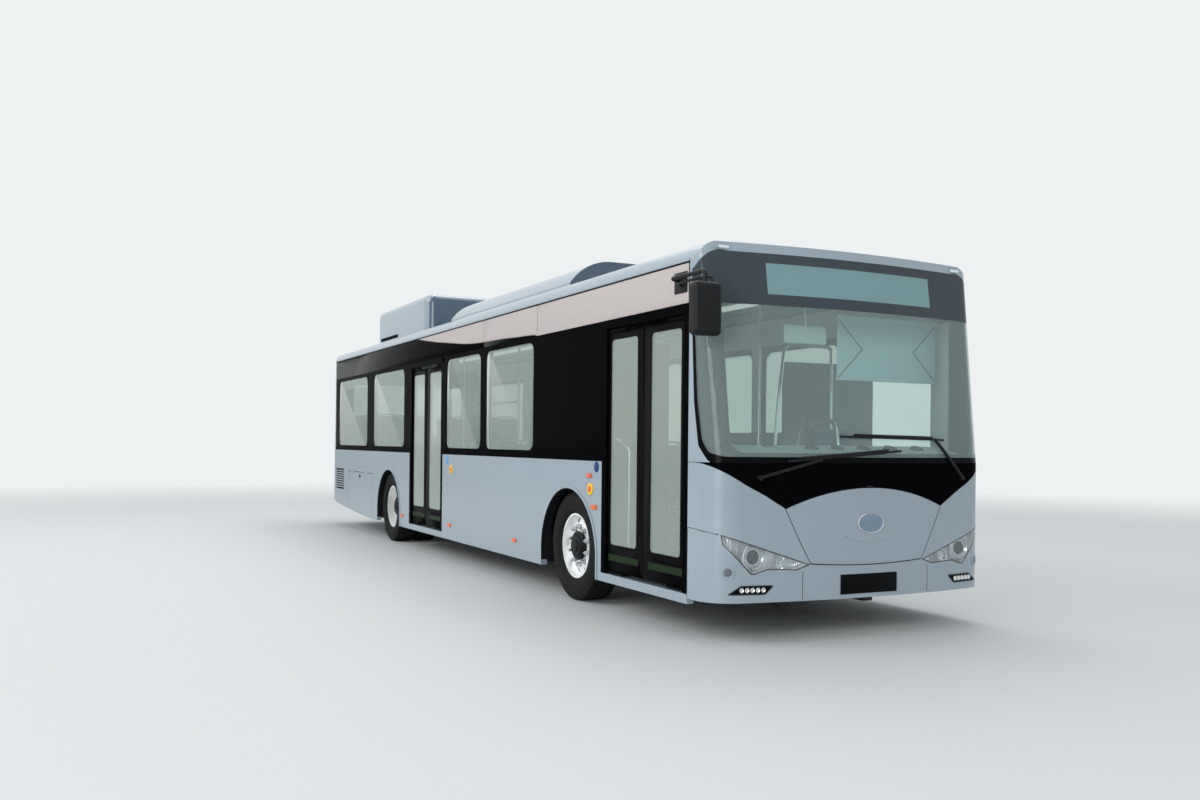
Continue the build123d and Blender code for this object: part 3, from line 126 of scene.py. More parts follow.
sky = bpy.data.worlds.new("even_sky")
sky.use_nodes = True
tree = sky.node_tree
tree.nodes.clear()
sky_light = shade(tree, "ShaderNodeBackground", Color=srgb("#E9EEF1"), Strength=0.62)
sky_seen = shade(tree, "ShaderNodeBackground", Color=srgb(HAZE), Strength=1.0)
path = shade(tree, "ShaderNodeLightPath").outputs
straight = clamped_sum(tree, path["Is Camera Ray"], path["Is Glossy Ray"])
straight = clamped_sum(tree, straight, path["Is Transmission Ray"])
shade(tree, "ShaderNodeOutputWorld", Surface=mixed(tree, straight, sky_light.outputs[0], sky_seen.outputs[0]))
scene.world = sky

concrete, tree = blank_finish("pale_floor")
patches = shade(tree, "ShaderNodeTexNoise", Scale=3.0, Detail=5.0)
floor_tone = two_tone(tree, patches.outputs["Fac"], srgb("#C9CCCD"), srgb("#D2D4D4"))
near_floor = shade(tree, "ShaderNodeBsdfPrincipled", Base_Color=floor_tone, Roughness=0.75)
far_floor = shade(tree, "ShaderNodeEmission", Color=srgb(HAZE), Strength=1.0)
away = shade(tree, "ShaderNodeVectorMath", {"operation": "LENGTH"}, _0=on_object(tree))
fade = shade(tree, "ShaderNodeMapRange", {"interpolation_type": "SMOOTHSTEP"}, Value=away.outputs["Value"],
             From_Min=FLOOR_FADE[0], From_Max=FLOOR_FADE[1])
seen = shade(tree, "ShaderNodeLightPath").outputs["Is Camera Ray"]
fade = shade(tree, "ShaderNodeMath", {"operation": "MULTIPLY"}, _0=fade.outputs[0], _1=seen)
surface(tree, mixed(tree, fade.outputs[0], near_floor.outputs[0], far_floor.outputs[0]))
bm = bmesh.new()
bmesh.ops.create_grid(bm, x_segments=1, y_segments=1, size=FLOOR_HALF)
floor_mesh = bpy.data.meshes.new("studio_floor")
bm.to_mesh(floor_mesh)
bm.free()
floor_mesh.materials.append(concrete)
studio_floor = bpy.data.objects.new("studio_floor", floor_mesh)
scene.collection.objects.link(studio_floor)

# Columns: name, place, aim, width, height, power
LAMPS = (("side_lamp", (-1, -15, 11), (-1, 0, 1), 16, 8, 1300),
         ("front_lamp", (17, 3, 8), (5, 0, 1.4), 9, 6, 300),
         ("corner_lamp", (13, -12.5, 4), (5.9, -1.2, 1.3), 4, 6, 680),
         ("top_lamp", (-3, 3, 14), (-1, 0, 2), 14, 8, 1100))
for lamp_name, place, aim, width, height, power in LAMPS:
    lamp_data = bpy.data.lights.new(lamp_name, "AREA")
    lamp_data.shape = "RECTANGLE"
    lamp_data.size = width
    lamp_data.size_y = height
    lamp_data.energy = power
    lamp = bpy.data.objects.new(lamp_name, lamp_data)
    lamp.location = place
    lamp.visible_glossy = lamp_name != "front_lamp"
    lamp.rotation_mode = "QUATERNION"
    lamp.rotation_quaternion = (Vector(aim) - Vector(place)).to_track_quat("-Z", "Y")
    scene.collection.objects.link(lamp)

# Camera, solved from the photograph: focal length and horizon in its pixels, then place, heading and roll.
# It stands off the right front corner at about chest height; its sensor is full frame.
PHOTO_W = 1200
FOCAL_PX = 1065.73
HORIZON_BELOW_PX = 42.88
HEADING = 2.68301538
ROLL = 0.01017367
CAMERA_AT = (12.0523, -5.186, 1.3888)
SENSOR_MM = 36
UP = Vector((0, 0, 1))
camera_data = bpy.data.cameras.new("camera")
camera_data.sensor_width = SENSOR_MM
camera_data.lens = SENSOR_MM * FOCAL_PX / PHOTO_W
camera_data.shift_y = HORIZON_BELOW_PX / PHOTO_W
camera_data.clip_end = 900
camera = bpy.data.objects.new("camera", camera_data)
ahead = Vector((math.cos(HEADING), math.sin(HEADING), 0))
level_right = ahead.cross(UP)
right = level_right * math.cos(ROLL) + UP * math.sin(ROLL)
up = UP * math.cos(ROLL) - level_right * math.sin(ROLL)
turn = Matrix((right, up, -ahead)).transposed().to_4x4()
camera.matrix_world = Matrix.Translation(CAMERA_AT) @ turn
scene.collection.objects.link(camera)
scene.camera = camera

# Body panels: pressed aluminium sheet with baked polyester paint in a light grey blue.
# The clear coat gives a sharp highlight over a plain base, and the spray leaves faint orange peel.
PEEL_MM = 9
DRIFT_PER_M = 2.2
GRAIN_STRENGTH = 0.25


def roughened(tree, shader, height, strength, depth):
    """Give a shader a fine relief."""
    bump = shade(tree, "ShaderNodeBump", Height=height, Strength=strength, Distance=depth)
    tree.links.new(bump.outputs[0], shader.inputs["Normal"])


def plain_finish(name, code, roughness, metallic=0.0, grain_mm=0.0, grain_depth=0.0, mottle=0.06, **more):
    """A single material whose tone drifts a little and whose surface has a fine grain."""
    finish, tree = blank_finish(name)
    place = on_object(tree)
    drift = shade(tree, "ShaderNodeTexNoise", Vector=place, Scale=DRIFT_PER_M, Detail=3.0)
    dark, pale = [(*[c * part for c in srgb(code)[:3]], 1) for part in (1 - mottle, 1 + mottle)]
    tone = two_tone(tree, drift.outputs["Fac"], dark, pale)
    body = shade(tree, "ShaderNodeBsdfPrincipled", Base_Color=tone, Roughness=roughness,
                 Metallic=metallic, **more)
    if grain_mm:
        grit = shade(tree, "ShaderNodeTexNoise", Vector=place, Scale=1000 / grain_mm, Detail=2.0)
        roughened(tree, body, grit.outputs["Fac"], GRAIN_STRENGTH, grain_depth)
    surface(tree, body.outputs[0])
    return finish


def reskin(node, finish):
    skin = frame["nodes"][node].data
    skin.materials.clear()
    skin.materials.append(finish)


def dress(slot, finish):
    """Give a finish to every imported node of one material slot."""
    for row in frame["record"]["subparts"]:
        if row["material_slot"] == slot:
            reskin(row["node"], finish)


body_paint = plain_finish("polyester_paint_grey_blue", "#91A0AB", 0.34, 0.0, PEEL_MM, 0.0004, 0.03,
                          Coat_Weight=0.6, Coat_Roughness=0.06)
dress("body_paint", body_paint)

# Window band: gloss black glass-fibre panels round and between the panes, bonded to the body's frame
# and polished like the glass that sits flush in them.
gloss_black = plain_finish("polished_black_gelcoat", "#08080A", 0.09, IOR=1.03)
dress("gloss_black", gloss_black)

# Side and rear panes: grey-green tinted safety glass, flush bonded.
# Seen from outside it shows a painted sheen, a pale colour standing in for the sky's reflection, over a dim
# view of the saloon.
GLASS_IOR = 1.5


def sheet_glass(name, code, sheen, see_through):
    """Thin glass: a tinted see-through share under a painted pale sheen that stands in for reflection, the
    same from both of its faces.
    """
    finish, tree = blank_finish(name)
    clear = shade(tree, "ShaderNodeBsdfTransparent", Color=srgb(see_through))
    face = shade(tree, "ShaderNodeBsdfPrincipled", Base_Color=srgb(code), Roughness=0.04)
    back = shade(tree, "ShaderNodeNewGeometry").outputs["Backfacing"]
    index = shade(tree, "ShaderNodeMapRange", Value=back, To_Min=GLASS_IOR, To_Max=1 / GLASS_IOR)
    edge = shade(tree, "ShaderNodeFresnel", IOR=index.outputs[0])
    share = clamped_sum(tree, edge.outputs[0], sheen)
    surface(tree, mixed(tree, share, clear.outputs[0], face.outputs[0]))
    return finish


tinted_glass = sheet_glass("tinted_safety_glass", "#C3CFC8", 0.15, "#EAF0EC")
dress("tinted_glass", tinted_glass)

# Windscreen: one bent laminated pane, printed black round its edge and dark grey over its top, with a clear
# field for the sign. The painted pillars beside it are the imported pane's flanks, cut along the print's edge.
# Columns: height, along the bus
FRIT_OUTER = ((2.85, 5.568), (2.158, 5.587), (1.697, 5.616), (1.381, 5.674), (1.278, 5.756), (1.2, 5.86))
FRIT_INNER = ((2.85, 5.584), (2.334, 5.605), (1.696, 5.656), (1.416, 5.708), (1.33, 5.765), (1.302, 5.85))
GLASS_SILL_Z = 1.302
BAND_Z = 2.382
SIGN_Y = 0.76
SIGN_LOW_Z = 2.462
SIGN_TOP_Z = 2.688
SHARP_ANGLE = math.radians(32)


def piece(name, bm, finish, body="body"):
    """Make a smooth-shaded mesh, give it a finish and let it ride on a body."""
    mesh = bpy.data.meshes.new(name)
    bm.to_mesh(mesh)
    bm.free()
    mesh.shade_smooth()
    mesh.set_sharp_from_angle(angle=SHARP_ANGLE)
    mesh.materials.append(finish)
    made = bpy.data.objects.new(name, mesh)
    scene.collection.objects.link(made)
    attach(made, body)
    return made


def edge_x(line, z):
    """X of a printed edge at a height."""
    for (top_z, top_x), (low_z, low_x) in zip(line, line[1:]):
        if z >= low_z:
            return low_x + (top_x - low_x) * (z - low_z) / (top_z - low_z)
    return line[-1][1]


def node_share(node, pick=None):
    """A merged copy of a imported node, or of those of its faces that pass a test."""
    bm = bmesh.new()
    bm.from_mesh(frame["nodes"][node].data)
    bmesh.ops.remove_doubles(bm, verts=bm.verts, dist=1e-5)
    bm.normal_update()
    if pick:
        bmesh.ops.delete(bm, geom=[f for f in bm.faces if not pick(f)], context="FACES")
    return bm


def windscreen_part(name, keep, finish):
    """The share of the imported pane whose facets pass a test."""
    bm = node_share("windscreen")
    cuts = [((0, 0, z), (0, 0, 1)) for z in (GLASS_SILL_Z, BAND_Z, SIGN_LOW_Z, SIGN_TOP_Z)]
    cuts += [((0, y, 0), (0, 1, 0)) for y in (-SIGN_Y, SIGN_Y)]
    for line in (FRIT_OUTER, FRIT_INNER):
        cuts += [((0, 0, z), (0, 0, 1)) for z, x in line]
        for (top_z, top_x), (low_z, low_x) in zip(line, line[1:]):
            cuts.append(((low_x, 0, low_z), (top_z - low_z, 0, low_x - top_x)))
    for place, normal in cuts:
        whole = bm.verts[:] + bm.edges[:] + bm.faces[:]
        bmesh.ops.bisect_plane(bm, geom=whole, dist=1e-6, plane_co=place, plane_no=normal)
    out = [f for f in bm.faces if not keep(f.calc_center_median())]
    bmesh.ops.delete(bm, geom=out, context="FACES")
    return piece(name, bm, finish)


def on_pillar(p):
    return p.x < edge_x(FRIT_OUTER, p.z)


def in_sign(p):
    return SIGN_LOW_Z < p.z < SIGN_TOP_Z and abs(p.y) < SIGN_Y


def in_view(p):
    return GLASS_SILL_Z < p.z < BAND_Z and p.x > edge_x(FRIT_INNER, p.z)


def on_print(p):
    return not (on_pillar(p) or in_sign(p) or in_view(p))


# These glasses mix in a painted sheen, a pale colour standing in for the sky's reflection; the sign field's is
# strongest.
clear_glass = sheet_glass("laminated_windscreen_glass", "#C6D6D5", 0.12, "#F2FBF9")
sign_glass = sheet_glass("clear_sign_field", "#8DB2B7", 0.6, "#C9DEDE")
frit = plain_finish("printed_grey_enamel", "#40494F", 0.08, IOR=1.2)
edge_print = plain_finish("printed_black_enamel", "#0B0C0E", 0.1, IOR=1.1)
pillars = windscreen_part("windscreen_pillars", on_pillar, body_paint)
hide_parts("windscreen")
windscreen_part("windscreen_field", in_view, clear_glass)
windscreen_part("windscreen_sign_field", in_sign, sign_glass)
top_print = windscreen_part("windscreen_print", lambda p: on_print(p) and p.z > BAND_Z, frit)
low_print = windscreen_part("windscreen_edge_print", lambda p: on_print(p) and p.z < BAND_Z, edge_print)

# Plain slots: moulded plastics, castings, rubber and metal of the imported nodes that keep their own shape.
# Mouldings and castings have a fine grain; lamps are smooth acrylic; tube and tread plate are bare metal.
black_plastic = plain_finish("grained_black_abs", "#131416", 0.5, 0, 2, 0.0003, IOR=1.3)
dress("black_plastic", black_plastic)
satin_black = plain_finish("satin_black_powder_coat", "#0A0A0C", 0.38, 0, 3, 0.0002, IOR=1.08)
dress("door_frame_black", satin_black)
# Columns: slot, finish, colour, roughness, and where it isn't nought metallic, grain in mm and its depth
PLAIN_SLOTS = (("lamp_amber", "amber_acrylic", "#E8681C", 0.12),
               ("lamp_red", "red_acrylic", "#B3121A", 0.12),
               ("lamp_clear", "clear_acrylic", "#D9DEE0", 0.08),
               ("display_black", "sign_glass", "#6F9296", 0.2),
               ("grey_plastic", "grained_grey_abs", "#6B7072", 0.55, 0, 2, 0.0003),
               ("seat_fabric", "blue_seat_plush", "#3E5474", 0.9),
               ("rail_steel", "brushed_stainless_tube", "#C9CDCF", 0.28, 1.0),
               ("floor_covering", "grey_safety_vinyl", "#6A6E70", 0.8, 0, 4, 0.0003),
               ("chassis_steel", "black_chassis_paint", "#191A1C", 0.6),
               ("axle_iron", "painted_casting", "#1B1B1D", 0.6, 0, 3, 0.0005),
               ("ramp_aluminium", "chequer_aluminium", "#A9ADB0", 0.4, 1.0),
               ("rim_aluminium", "forged_aluminium", "#F6F7F7", 0.32, 0.35))
for slot, *look in PLAIN_SLOTS:
    dress(slot, plain_finish(*look))

# Cantrail: polished black panels over the windows in three lengths, under a thin rubber strip at the gutter.
# A painted sky reflection lies pearl grey on them ahead of the middle door and runs out to black behind it in
# a soft wave.
SIDE_Y = 1.275
CANTRAIL_Z = (2.392, 2.676)
CANTRAIL_SEAMS = (-5.79, 1.317, 2.774, 5.54)
GUTTER_X = (-5.79, 5.545)
GUTTER_Y = (SIDE_Y - 0.01, SIDE_Y + 0.0085)
GUTTER_Z = (2.678, 2.6905)
PEARL_X = (-2.0, 3.2)
PEARL_Z = (2.36, 2.72)
PEARL_SOFT = 0.012
# Columns: along the bus, height of the painted reflection's lower edge; the first two are the ends of its run
PEARL_EDGE = ((-2.0, 2.72), (3.2, 2.36), (-1.35, 2.71), (-1.15, 2.68), (-0.8, 2.632), (-0.32, 2.578),
              (0.34, 2.506), (0.85, 2.459), (1.25, 2.446), (1.9, 2.434), (2.32, 2.414), (2.74, 2.405),
              (2.8, 2.36))
PANEL_GAP = 0.004
PANEL_PROUD = 0.004


def slab(bm, low, high, round_over=0.0, steps=2):
    """A block between two corners, with its edges rounded over."""
    low, high = Vector(low), Vector(high)
    place = Matrix.Translation((low + high) / 2) @ Matrix.Diagonal((*(high - low), 1))
    made = bmesh.ops.create_cube(bm, size=1, matrix=place)["verts"]
    if round_over:
        edges = list({e for v in made for e in v.link_edges})
        bmesh.ops.bevel(bm, geom=edges, offset=round_over, segments=steps, profile=0.5, affect="EDGES",
                        material=-1)


def side_slab(bm, hand, x, y, z, round_over=0.0):
    """A block on one side, between two places along, two reaches from the middle plane and two heights."""
    near, far = sorted(hand * reach for reach in y)
    slab(bm, (x[0], near, z[0]), (x[1], far, z[1]), round_over)


# The pearl grey in this finish is a painted reflection of the sky over black, below it the reflected skyline.
pearl_reflection_paint, tree = blank_finish("black_gelcoat_painted_sky_reflection")
split = shade(tree, "ShaderNodeSeparateXYZ", Vector=on_object(tree))
along = shade(tree, "ShaderNodeMapRange", Value=split.outputs["X"], From_Min=PEARL_X[0], From_Max=PEARL_X[1])
wave = shade(tree, "ShaderNodeValToRGB", Fac=along.outputs[0])
wave.color_ramp.interpolation = "B_SPLINE"
knots = wave.color_ramp.elements
for i, (x, z) in enumerate(PEARL_EDGE):
    where = (x - PEARL_X[0]) / (PEARL_X[1] - PEARL_X[0])
    depth = (z - PEARL_Z[0]) / (PEARL_Z[1] - PEARL_Z[0])
    knot = knots[i] if i < 2 else knots.new(where)
    knot.position = where
    knot.color = (depth, depth, depth, 1)
level = shade(tree, "ShaderNodeMapRange", Value=wave.outputs[0], To_Min=PEARL_Z[0], To_Max=PEARL_Z[1])
rise = shade(tree, "ShaderNodeMath", {"operation": "ADD"}, _0=level.outputs[0], _1=PEARL_SOFT)
share = shade(tree, "ShaderNodeMapRange", Value=split.outputs["Z"],
              From_Min=level.outputs[0], From_Max=rise.outputs[0])
tone = two_tone(tree, share.outputs[0], srgb("#08080A"), srgb("#BBB3B1"))
surface(tree, shade(tree, "ShaderNodeBsdfPrincipled", Base_Color=tone, Roughness=0.12, IOR=1.05).outputs[0])
for hand, side in ((-1, "right"), (1, "left")):
    bm = bmesh.new()
    for rear, front in zip(CANTRAIL_SEAMS, CANTRAIL_SEAMS[1:]):
        ends = (rear + PANEL_GAP, front - PANEL_GAP)
        side_slab(bm, hand, ends, (SIDE_Y, SIDE_Y + PANEL_PROUD), CANTRAIL_Z, 0.0015)
    piece(f"cantrail_{side}", bm, pearl_reflection_paint)
    bm = bmesh.new()
    side_slab(bm, hand, GUTTER_X, GUTTER_Y, GUTTER_Z, 0.003)
    piece(f"gutter_rubber_{side}", bm, black_plastic)

# Wheel arch liners: black plastic strips bent into each arch behind its painted lip, up one side,
# round the crown and down the other; grained, and dull with road dirt.
ARCH_MIDDLES_X = (3.5, -2.47)
ARCH_HALF = 0.575
ARCH_TOP_Z = 0.988
ARCH_SPRING_Z = 0.453
LINER_GAP = 0.001
LINER_T = 0.002
LINER_LOW_Z = 0.3
LINER_Y = (1.19, 1.28)
LINER_STEPS = 40
liner_half = ARCH_HALF - LINER_GAP
crown_rise = ARCH_TOP_Z - ARCH_SPRING_Z - LINER_GAP
crown_r = (liner_half ** 2 + crown_rise ** 2) / (2 * crown_rise)
crown_z = ARCH_SPRING_Z + crown_rise - crown_r
sweep = 2 * math.atan2(liner_half, ARCH_SPRING_Z - crown_z)


def points_of(made):
    return [v for v in made if isinstance(v, bmesh.types.BMVert)]


def end_edge(ends):
    return next(e for e in ends[0].link_edges if e.other_vert(ends[0]) in ends)


def drawn_on(bm, ends, move):
    """Draw a strip's end edge on by a move; gives the new end's vertices."""
    fresh = points_of(bmesh.ops.extrude_edge_only(bm, edges=[end_edge(ends)])["geom"])
    bmesh.ops.translate(bm, vec=move, verts=fresh)
    return fresh


def walled(bm, thickness):
    """Give a skin a wall, with its faces looking outwards."""
    bmesh.ops.solidify(bm, geom=bm.faces[:], thickness=thickness)
    bmesh.ops.recalc_face_normals(bm, faces=bm.faces)


bm = bmesh.new()
for hand in (-1, 1):
    for arch_x in ARCH_MIDDLES_X:
        foot = [bm.verts.new((arch_x + liner_half, hand * y, LINER_LOW_Z)) for y in LINER_Y]
        bm.edges.new(foot)
        ends = drawn_on(bm, foot, (0, 0, ARCH_SPRING_Z - LINER_LOW_Z))
        crown = bmesh.ops.spin(bm, geom=ends + [end_edge(ends)], cent=(arch_x, 0, crown_z), axis=(0, -1, 0),
                               angle=sweep, steps=LINER_STEPS)
        drawn_on(bm, points_of(crown["geom_last"]), (0, 0, LINER_LOW_Z - ARCH_SPRING_Z))
bmesh.ops.recalc_face_normals(bm, faces=bm.faces)
walled(bm, LINER_T)
piece("wheel_arch_liners", bm, black_plastic)

# Tyres: radial city tyres with five ribs, a block shoulder and raised bands on the sidewall.
# Dull carbon-black rubber, a little greyer where the tread scuffs.
TYRE_R = 0.479
WHEEL_Y = 1.094
TWIN_PITCH = 0.31
FRONT_AXLE_X = 3.515
REAR_AXLE_X = -2.5
BLOCK_R = 0.462
BLOCK_Y = 0.076
BLOCK_INSET = 0.004
BLOCK_DEPTH = 0.007
# Columns: across from the tyre's middle, radius; one half, from the middle of the tread to the bead
HALF_TYRE = ((0.0, 0.479), (0.012, 0.479), (0.016, 0.467), (0.026, 0.467), (0.03, 0.479), (0.058, 0.479),
             (0.062, 0.467), (0.07, 0.467), (0.074, 0.478), (0.098, 0.477), (0.114, 0.472), (0.122, 0.458),
             (0.126, 0.44), (0.133, 0.425), (0.134, 0.415), (0.137, 0.395), (0.1375, 0.375), (0.134, 0.35),
             (0.13, 0.335), (0.131, 0.328), (0.122, 0.31), (0.112, 0.297), (0.1055, 0.2862))
TYRE_STEPS = 108
rubber = plain_finish("tyre_rubber", "#121314", 0.8, 0, 3, 0.0005, 0.15, IOR=1.3)
dress("tyre", rubber)


def spun(bm, profile, centre, axis, steps):
    """Turn a line of points round an axis into a closed ring or cap."""
    verts = [bm.verts.new(p) for p in profile]
    edges = [bm.edges.new(pair) for pair in zip(verts, verts[1:])]
    bmesh.ops.spin(bm, geom=verts + edges, cent=centre, axis=axis, angle=math.tau, steps=steps,
                   use_merge=True)
    bmesh.ops.remove_doubles(bm, verts=bm.verts, dist=1e-6)
    bmesh.ops.recalc_face_normals(bm, faces=bm.faces)


def tyre(bm, x, y):
    """Spin a whole section into a ring, then sink every second face of its shoulders between the blocks."""
    whole = [(-s, r) for s, r in reversed(HALF_TYRE[1:])] + list(HALF_TYRE)
    whole.append(whole[0])
    ring = bmesh.new()
    spun(ring, [(x, y + s, TYRE_R + r) for s, r in whole], (x, y, TYRE_R), (0, 1, 0), TYRE_STEPS)
    sunk = []
    for face in ring.faces:
        middle = face.calc_center_median()
        radius = math.hypot(middle.x - x, middle.z - TYRE_R)
        step = round(math.atan2(middle.z - TYRE_R, middle.x - x) / math.tau * TYRE_STEPS)
        if radius > BLOCK_R and abs(middle.y - y) > BLOCK_Y and step % 2:
            sunk.append(face)
    bmesh.ops.inset_individual(ring, faces=sunk, thickness=BLOCK_INSET, depth=-BLOCK_DEPTH)
    spare = bpy.data.meshes.new("tyre_ring")
    ring.to_mesh(spare)
    ring.free()
    bm.from_mesh(spare)
    bpy.data.meshes.remove(spare)


for hand, side in ((1, "left"), (-1, "right")):
    bm = bmesh.new()
    tyre(bm, FRONT_AXLE_X, hand * WHEEL_Y)
    ribbed = piece(f"front_tread_{side}", bm, rubber, f"front_wheel_{side}")
    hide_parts(f"front_tyre_{side}")
    bm = bmesh.new()
    tyre(bm, REAR_AXLE_X, hand * WHEEL_Y)
    tyre(bm, REAR_AXLE_X, hand * (WHEEL_Y - TWIN_PITCH))
    ribbed = piece(f"rear_treads_{side}", bm, rubber, f"rear_wheels_{side}")
    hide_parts(f"rear_tyres_{side}")

# Wheel fixings: ten nuts on washers and studs round each hub, and a cover with a raised lip over its middle.
# Zinc-plated nuts are bright; the cover is sprayed satin black.
NUT_CIRCLE = 0.1675
NUTS = 10
# Columns: length, foot and head radius, sides, middle out from the disc; a washer, a nut and the stud's end
NUT = ((0.008, 0.024, 0.022, 16, 0.004), (0.03, 0.0185, 0.0185, 6, 0.022), (0.01, 0.014, 0.009, 12, 0.041))
# Columns: radius, out from the cover's seat
HUB_COVER = ((0.122, -0.055), (0.128, 0.0), (0.128, 0.014), (0.118, 0.022), (0.104, 0.022), (0.1, 0.03),
             (0.095, 0.034), (0.06, 0.036), (0.054, 0.046), (0.02, 0.05), (0.0, 0.05))
# Columns: disc's face and cover's seat, out from the wheel's middle
FRONT_FACES = (0.058, 0.076)
REAR_FACES = (-0.139, 0.03)
nut_zinc = plain_finish("zinc_plated_nut", "#C4C8CA", 0.25, 1.0)
hub_black = plain_finish("satin_black_hub", "#121315", 0.42, IOR=1.25)


def wheel_fixings(side, hand, axle, x, face, cover_face):
    """Nuts on a disc's face, and a cover over the hub."""
    body = f"{axle}_{side}"
    out = Vector((0, hand, 0))
    hub = Vector((x, hand * WHEEL_Y, TYRE_R))
    stand = out.to_track_quat("Z", "Y").to_matrix().to_4x4()
    bm = bmesh.new()
    for i in range(NUTS):
        angle = math.tau * (i + 0.5) / NUTS
        seat = hub + Vector((math.cos(angle), 0, math.sin(angle))) * NUT_CIRCLE
        for length, foot_r, head_r, sides, start in NUT:
            turn = Matrix.Translation(seat + out * (face + start)) @ stand
            bmesh.ops.create_cone(bm, cap_ends=True, segments=sides, radius1=foot_r, radius2=head_r,
                                  depth=length, matrix=turn)
    piece(f"{axle}_nuts_{side}", bm, nut_zinc, body)
    bm = bmesh.new()
    line = [hub + out * (cover_face + rise) + Vector((0, 0, r)) for r, rise in HUB_COVER]
    spun(bm, line, hub, (0, 1, 0), 48)
    piece(f"{axle}_cover_{side}", bm, hub_black, body)


for hand, side in ((1, "left"), (-1, "right")):
    wheel_fixings(side, hand, "front_wheel", FRONT_AXLE_X, *FRONT_FACES)
    wheel_fixings(side, hand, "rear_wheels", REAR_AXLE_X, *REAR_FACES)

# Headlamps: clear moulded covers flush with the corners, each in a rubber seal over a silvered, fluted bowl.
# A projector with a smoked lens sits outboard and a small round reflector inboard, both chromed.
SEAL_W = 0.007
COVER_T = 0.003
BOWL_T = 0.0015
COVER_FACING = 0.3
LAMP_SPLIT_Z = 0.45
FLUTE_MM = 16
PROJECTOR_YZ = (0.955, 0.606)
REFLECTOR_YZ = (0.745, 0.562)
# Columns: radius, out from the cover's skin
PROJECTOR = ((0.094, -0.04), (0.09, -0.018), (0.081, -0.012), (0.074, -0.02), (0.066, -0.034), (0.06, -0.022),
             (0.052, -0.022), (0.049, -0.034))
PROJECTOR_EYE = ((0.0495, -0.034), (0.045, -0.024), (0.034, -0.016), (0.018, -0.012), (0.0, -0.011))
REFLECTOR = ((0.046, -0.02), (0.044, -0.006), (0.039, -0.006), (0.03, -0.022), (0.014, -0.03),
             (0.012, -0.014), (0.0, -0.012))
PROBE_X = 7
FORWARD = Vector((1, 0, 0))


def touch(node, y, z, end=1):
    """Where a probe from the front, or with end -1 the tail, meets a node, and the way that face looks."""
    probe = bmesh.new()
    probe.from_mesh(frame["nodes"][node].data)
    start, aim = Vector((end * PROBE_X, y, z)), Vector((-end, 0, 0))
    place, out = BVHTree.FromBMesh(probe).ray_cast(start, aim)[:2]
    probe.free()
    return place, out


def turned(bm, place, out, profile, steps=32):
    """A turned form standing on a face, from a line of radius and height off that face."""
    side = out.orthogonal().normalized()
    spun(bm, [place + side * r + out * rise for r, rise in profile], place, out, steps)


def is_head(face):
    return face.calc_center_median().z > LAMP_SPLIT_Z


def is_cover(face):
    return face.normal.x > COVER_FACING


def silvered_plastic(name, code, roughness):
    """Vacuum metallised plastic: a mirror skin over moulded flutes, which break up what it shows."""
    finish, tree = blank_finish(name)
    flutes = shade(tree, "ShaderNodeTexWave", {"bands_direction": "Y"}, Vector=on_object(tree),
                   Scale=math.tau / 20 * 1000 / FLUTE_MM, Distortion=0.0)
    body = shade(tree, "ShaderNodeBsdfPrincipled", Base_Color=srgb(code), Roughness=roughness, Metallic=0.6)
    roughened(tree, body, flutes.outputs["Fac"], 0.8, 0.003)
    surface(tree, body.outputs[0])
    return finish


rubber_seal = plain_finish("black_rubber_seal", "#101113", 0.55, 0, 2, 0.0002)
chrome = plain_finish("chromed_plastic", "#E3E5E6", 0.08, 1.0, 0, 0, 0.02)
silvered = silvered_plastic("metallised_lamp_bowl", "#F8F9F9", 0.24)
# The lamp cover's pale share is a painted sheen standing in for reflection.
lamp_cover = sheet_glass("clear_lamp_cover", "#DDE3E6", 0.06, "#F4F7F8")
smoked_eye = plain_finish("smoked_projector_lens", "#15191C", 0.03, 0.0, 0, 0, 0.02, IOR=1.3)

bowls = node_share("headlamps", lambda f: is_head(f) and not is_cover(f))
bmesh.ops.reverse_faces(bowls, faces=bowls.faces)
walled(bowls, BOWL_T)
lamp_bowls = piece("headlamp_bowls", bowls, silvered)
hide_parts("headlamps")
for cover_name, keep_ring, finish, slot in (("headlamp_covers", False, lamp_cover, "lamp_clear"),
                                            ("headlamp_seals", True, rubber_seal, "black_plastic")):
    bm = node_share("headlamps", lambda f: is_head(f) and is_cover(f))
    ring = set(bmesh.ops.inset_region(bm, faces=bm.faces[:], thickness=SEAL_W, use_boundary=True,
                                      use_even_offset=True)["faces"])
    bmesh.ops.delete(bm, geom=[f for f in bm.faces if (f in ring) != keep_ring], context="FACES")
    walled(bm, COVER_T)
    piece(cover_name, bm, finish)
rings, eyes = bmesh.new(), bmesh.new()
for hand in (-1, 1):
    seat_at = touch("headlamps", hand * PROJECTOR_YZ[0], PROJECTOR_YZ[1])[0]
    turned(rings, seat_at, FORWARD, PROJECTOR, 48)
    turned(eyes, seat_at, FORWARD, PROJECTOR_EYE, 48)
    seat_at = touch("headlamps", hand * REFLECTOR_YZ[0], REFLECTOR_YZ[1])[0]
    turned(rings, seat_at, FORWARD, REFLECTOR)
piece("headlamp_rings", rings, chrome)
piece("headlamp_eyes", eyes, smoked_eye)

# Service lid: a pressed panel painted like the body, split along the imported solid's own edges from
# its hinge knuckle at the top, which is sprayed black.
# Columns: half the knuckle's width, its lower edge
LID_HINGE = (0.064, 1.0818)
LID_BODY = "front_service_panel"


def on_hinge(face):
    middle = face.calc_center_median()
    return abs(middle.y) < LID_HINGE[0] and middle.z > LID_HINGE[1]


lid = piece("service_lid", node_share("front_panel", lambda f: not on_hinge(f)), body_paint, LID_BODY)
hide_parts("front_panel")
knuckle = piece("service_lid_hinge", node_share("front_panel", on_hinge), black_plastic, LID_BODY)

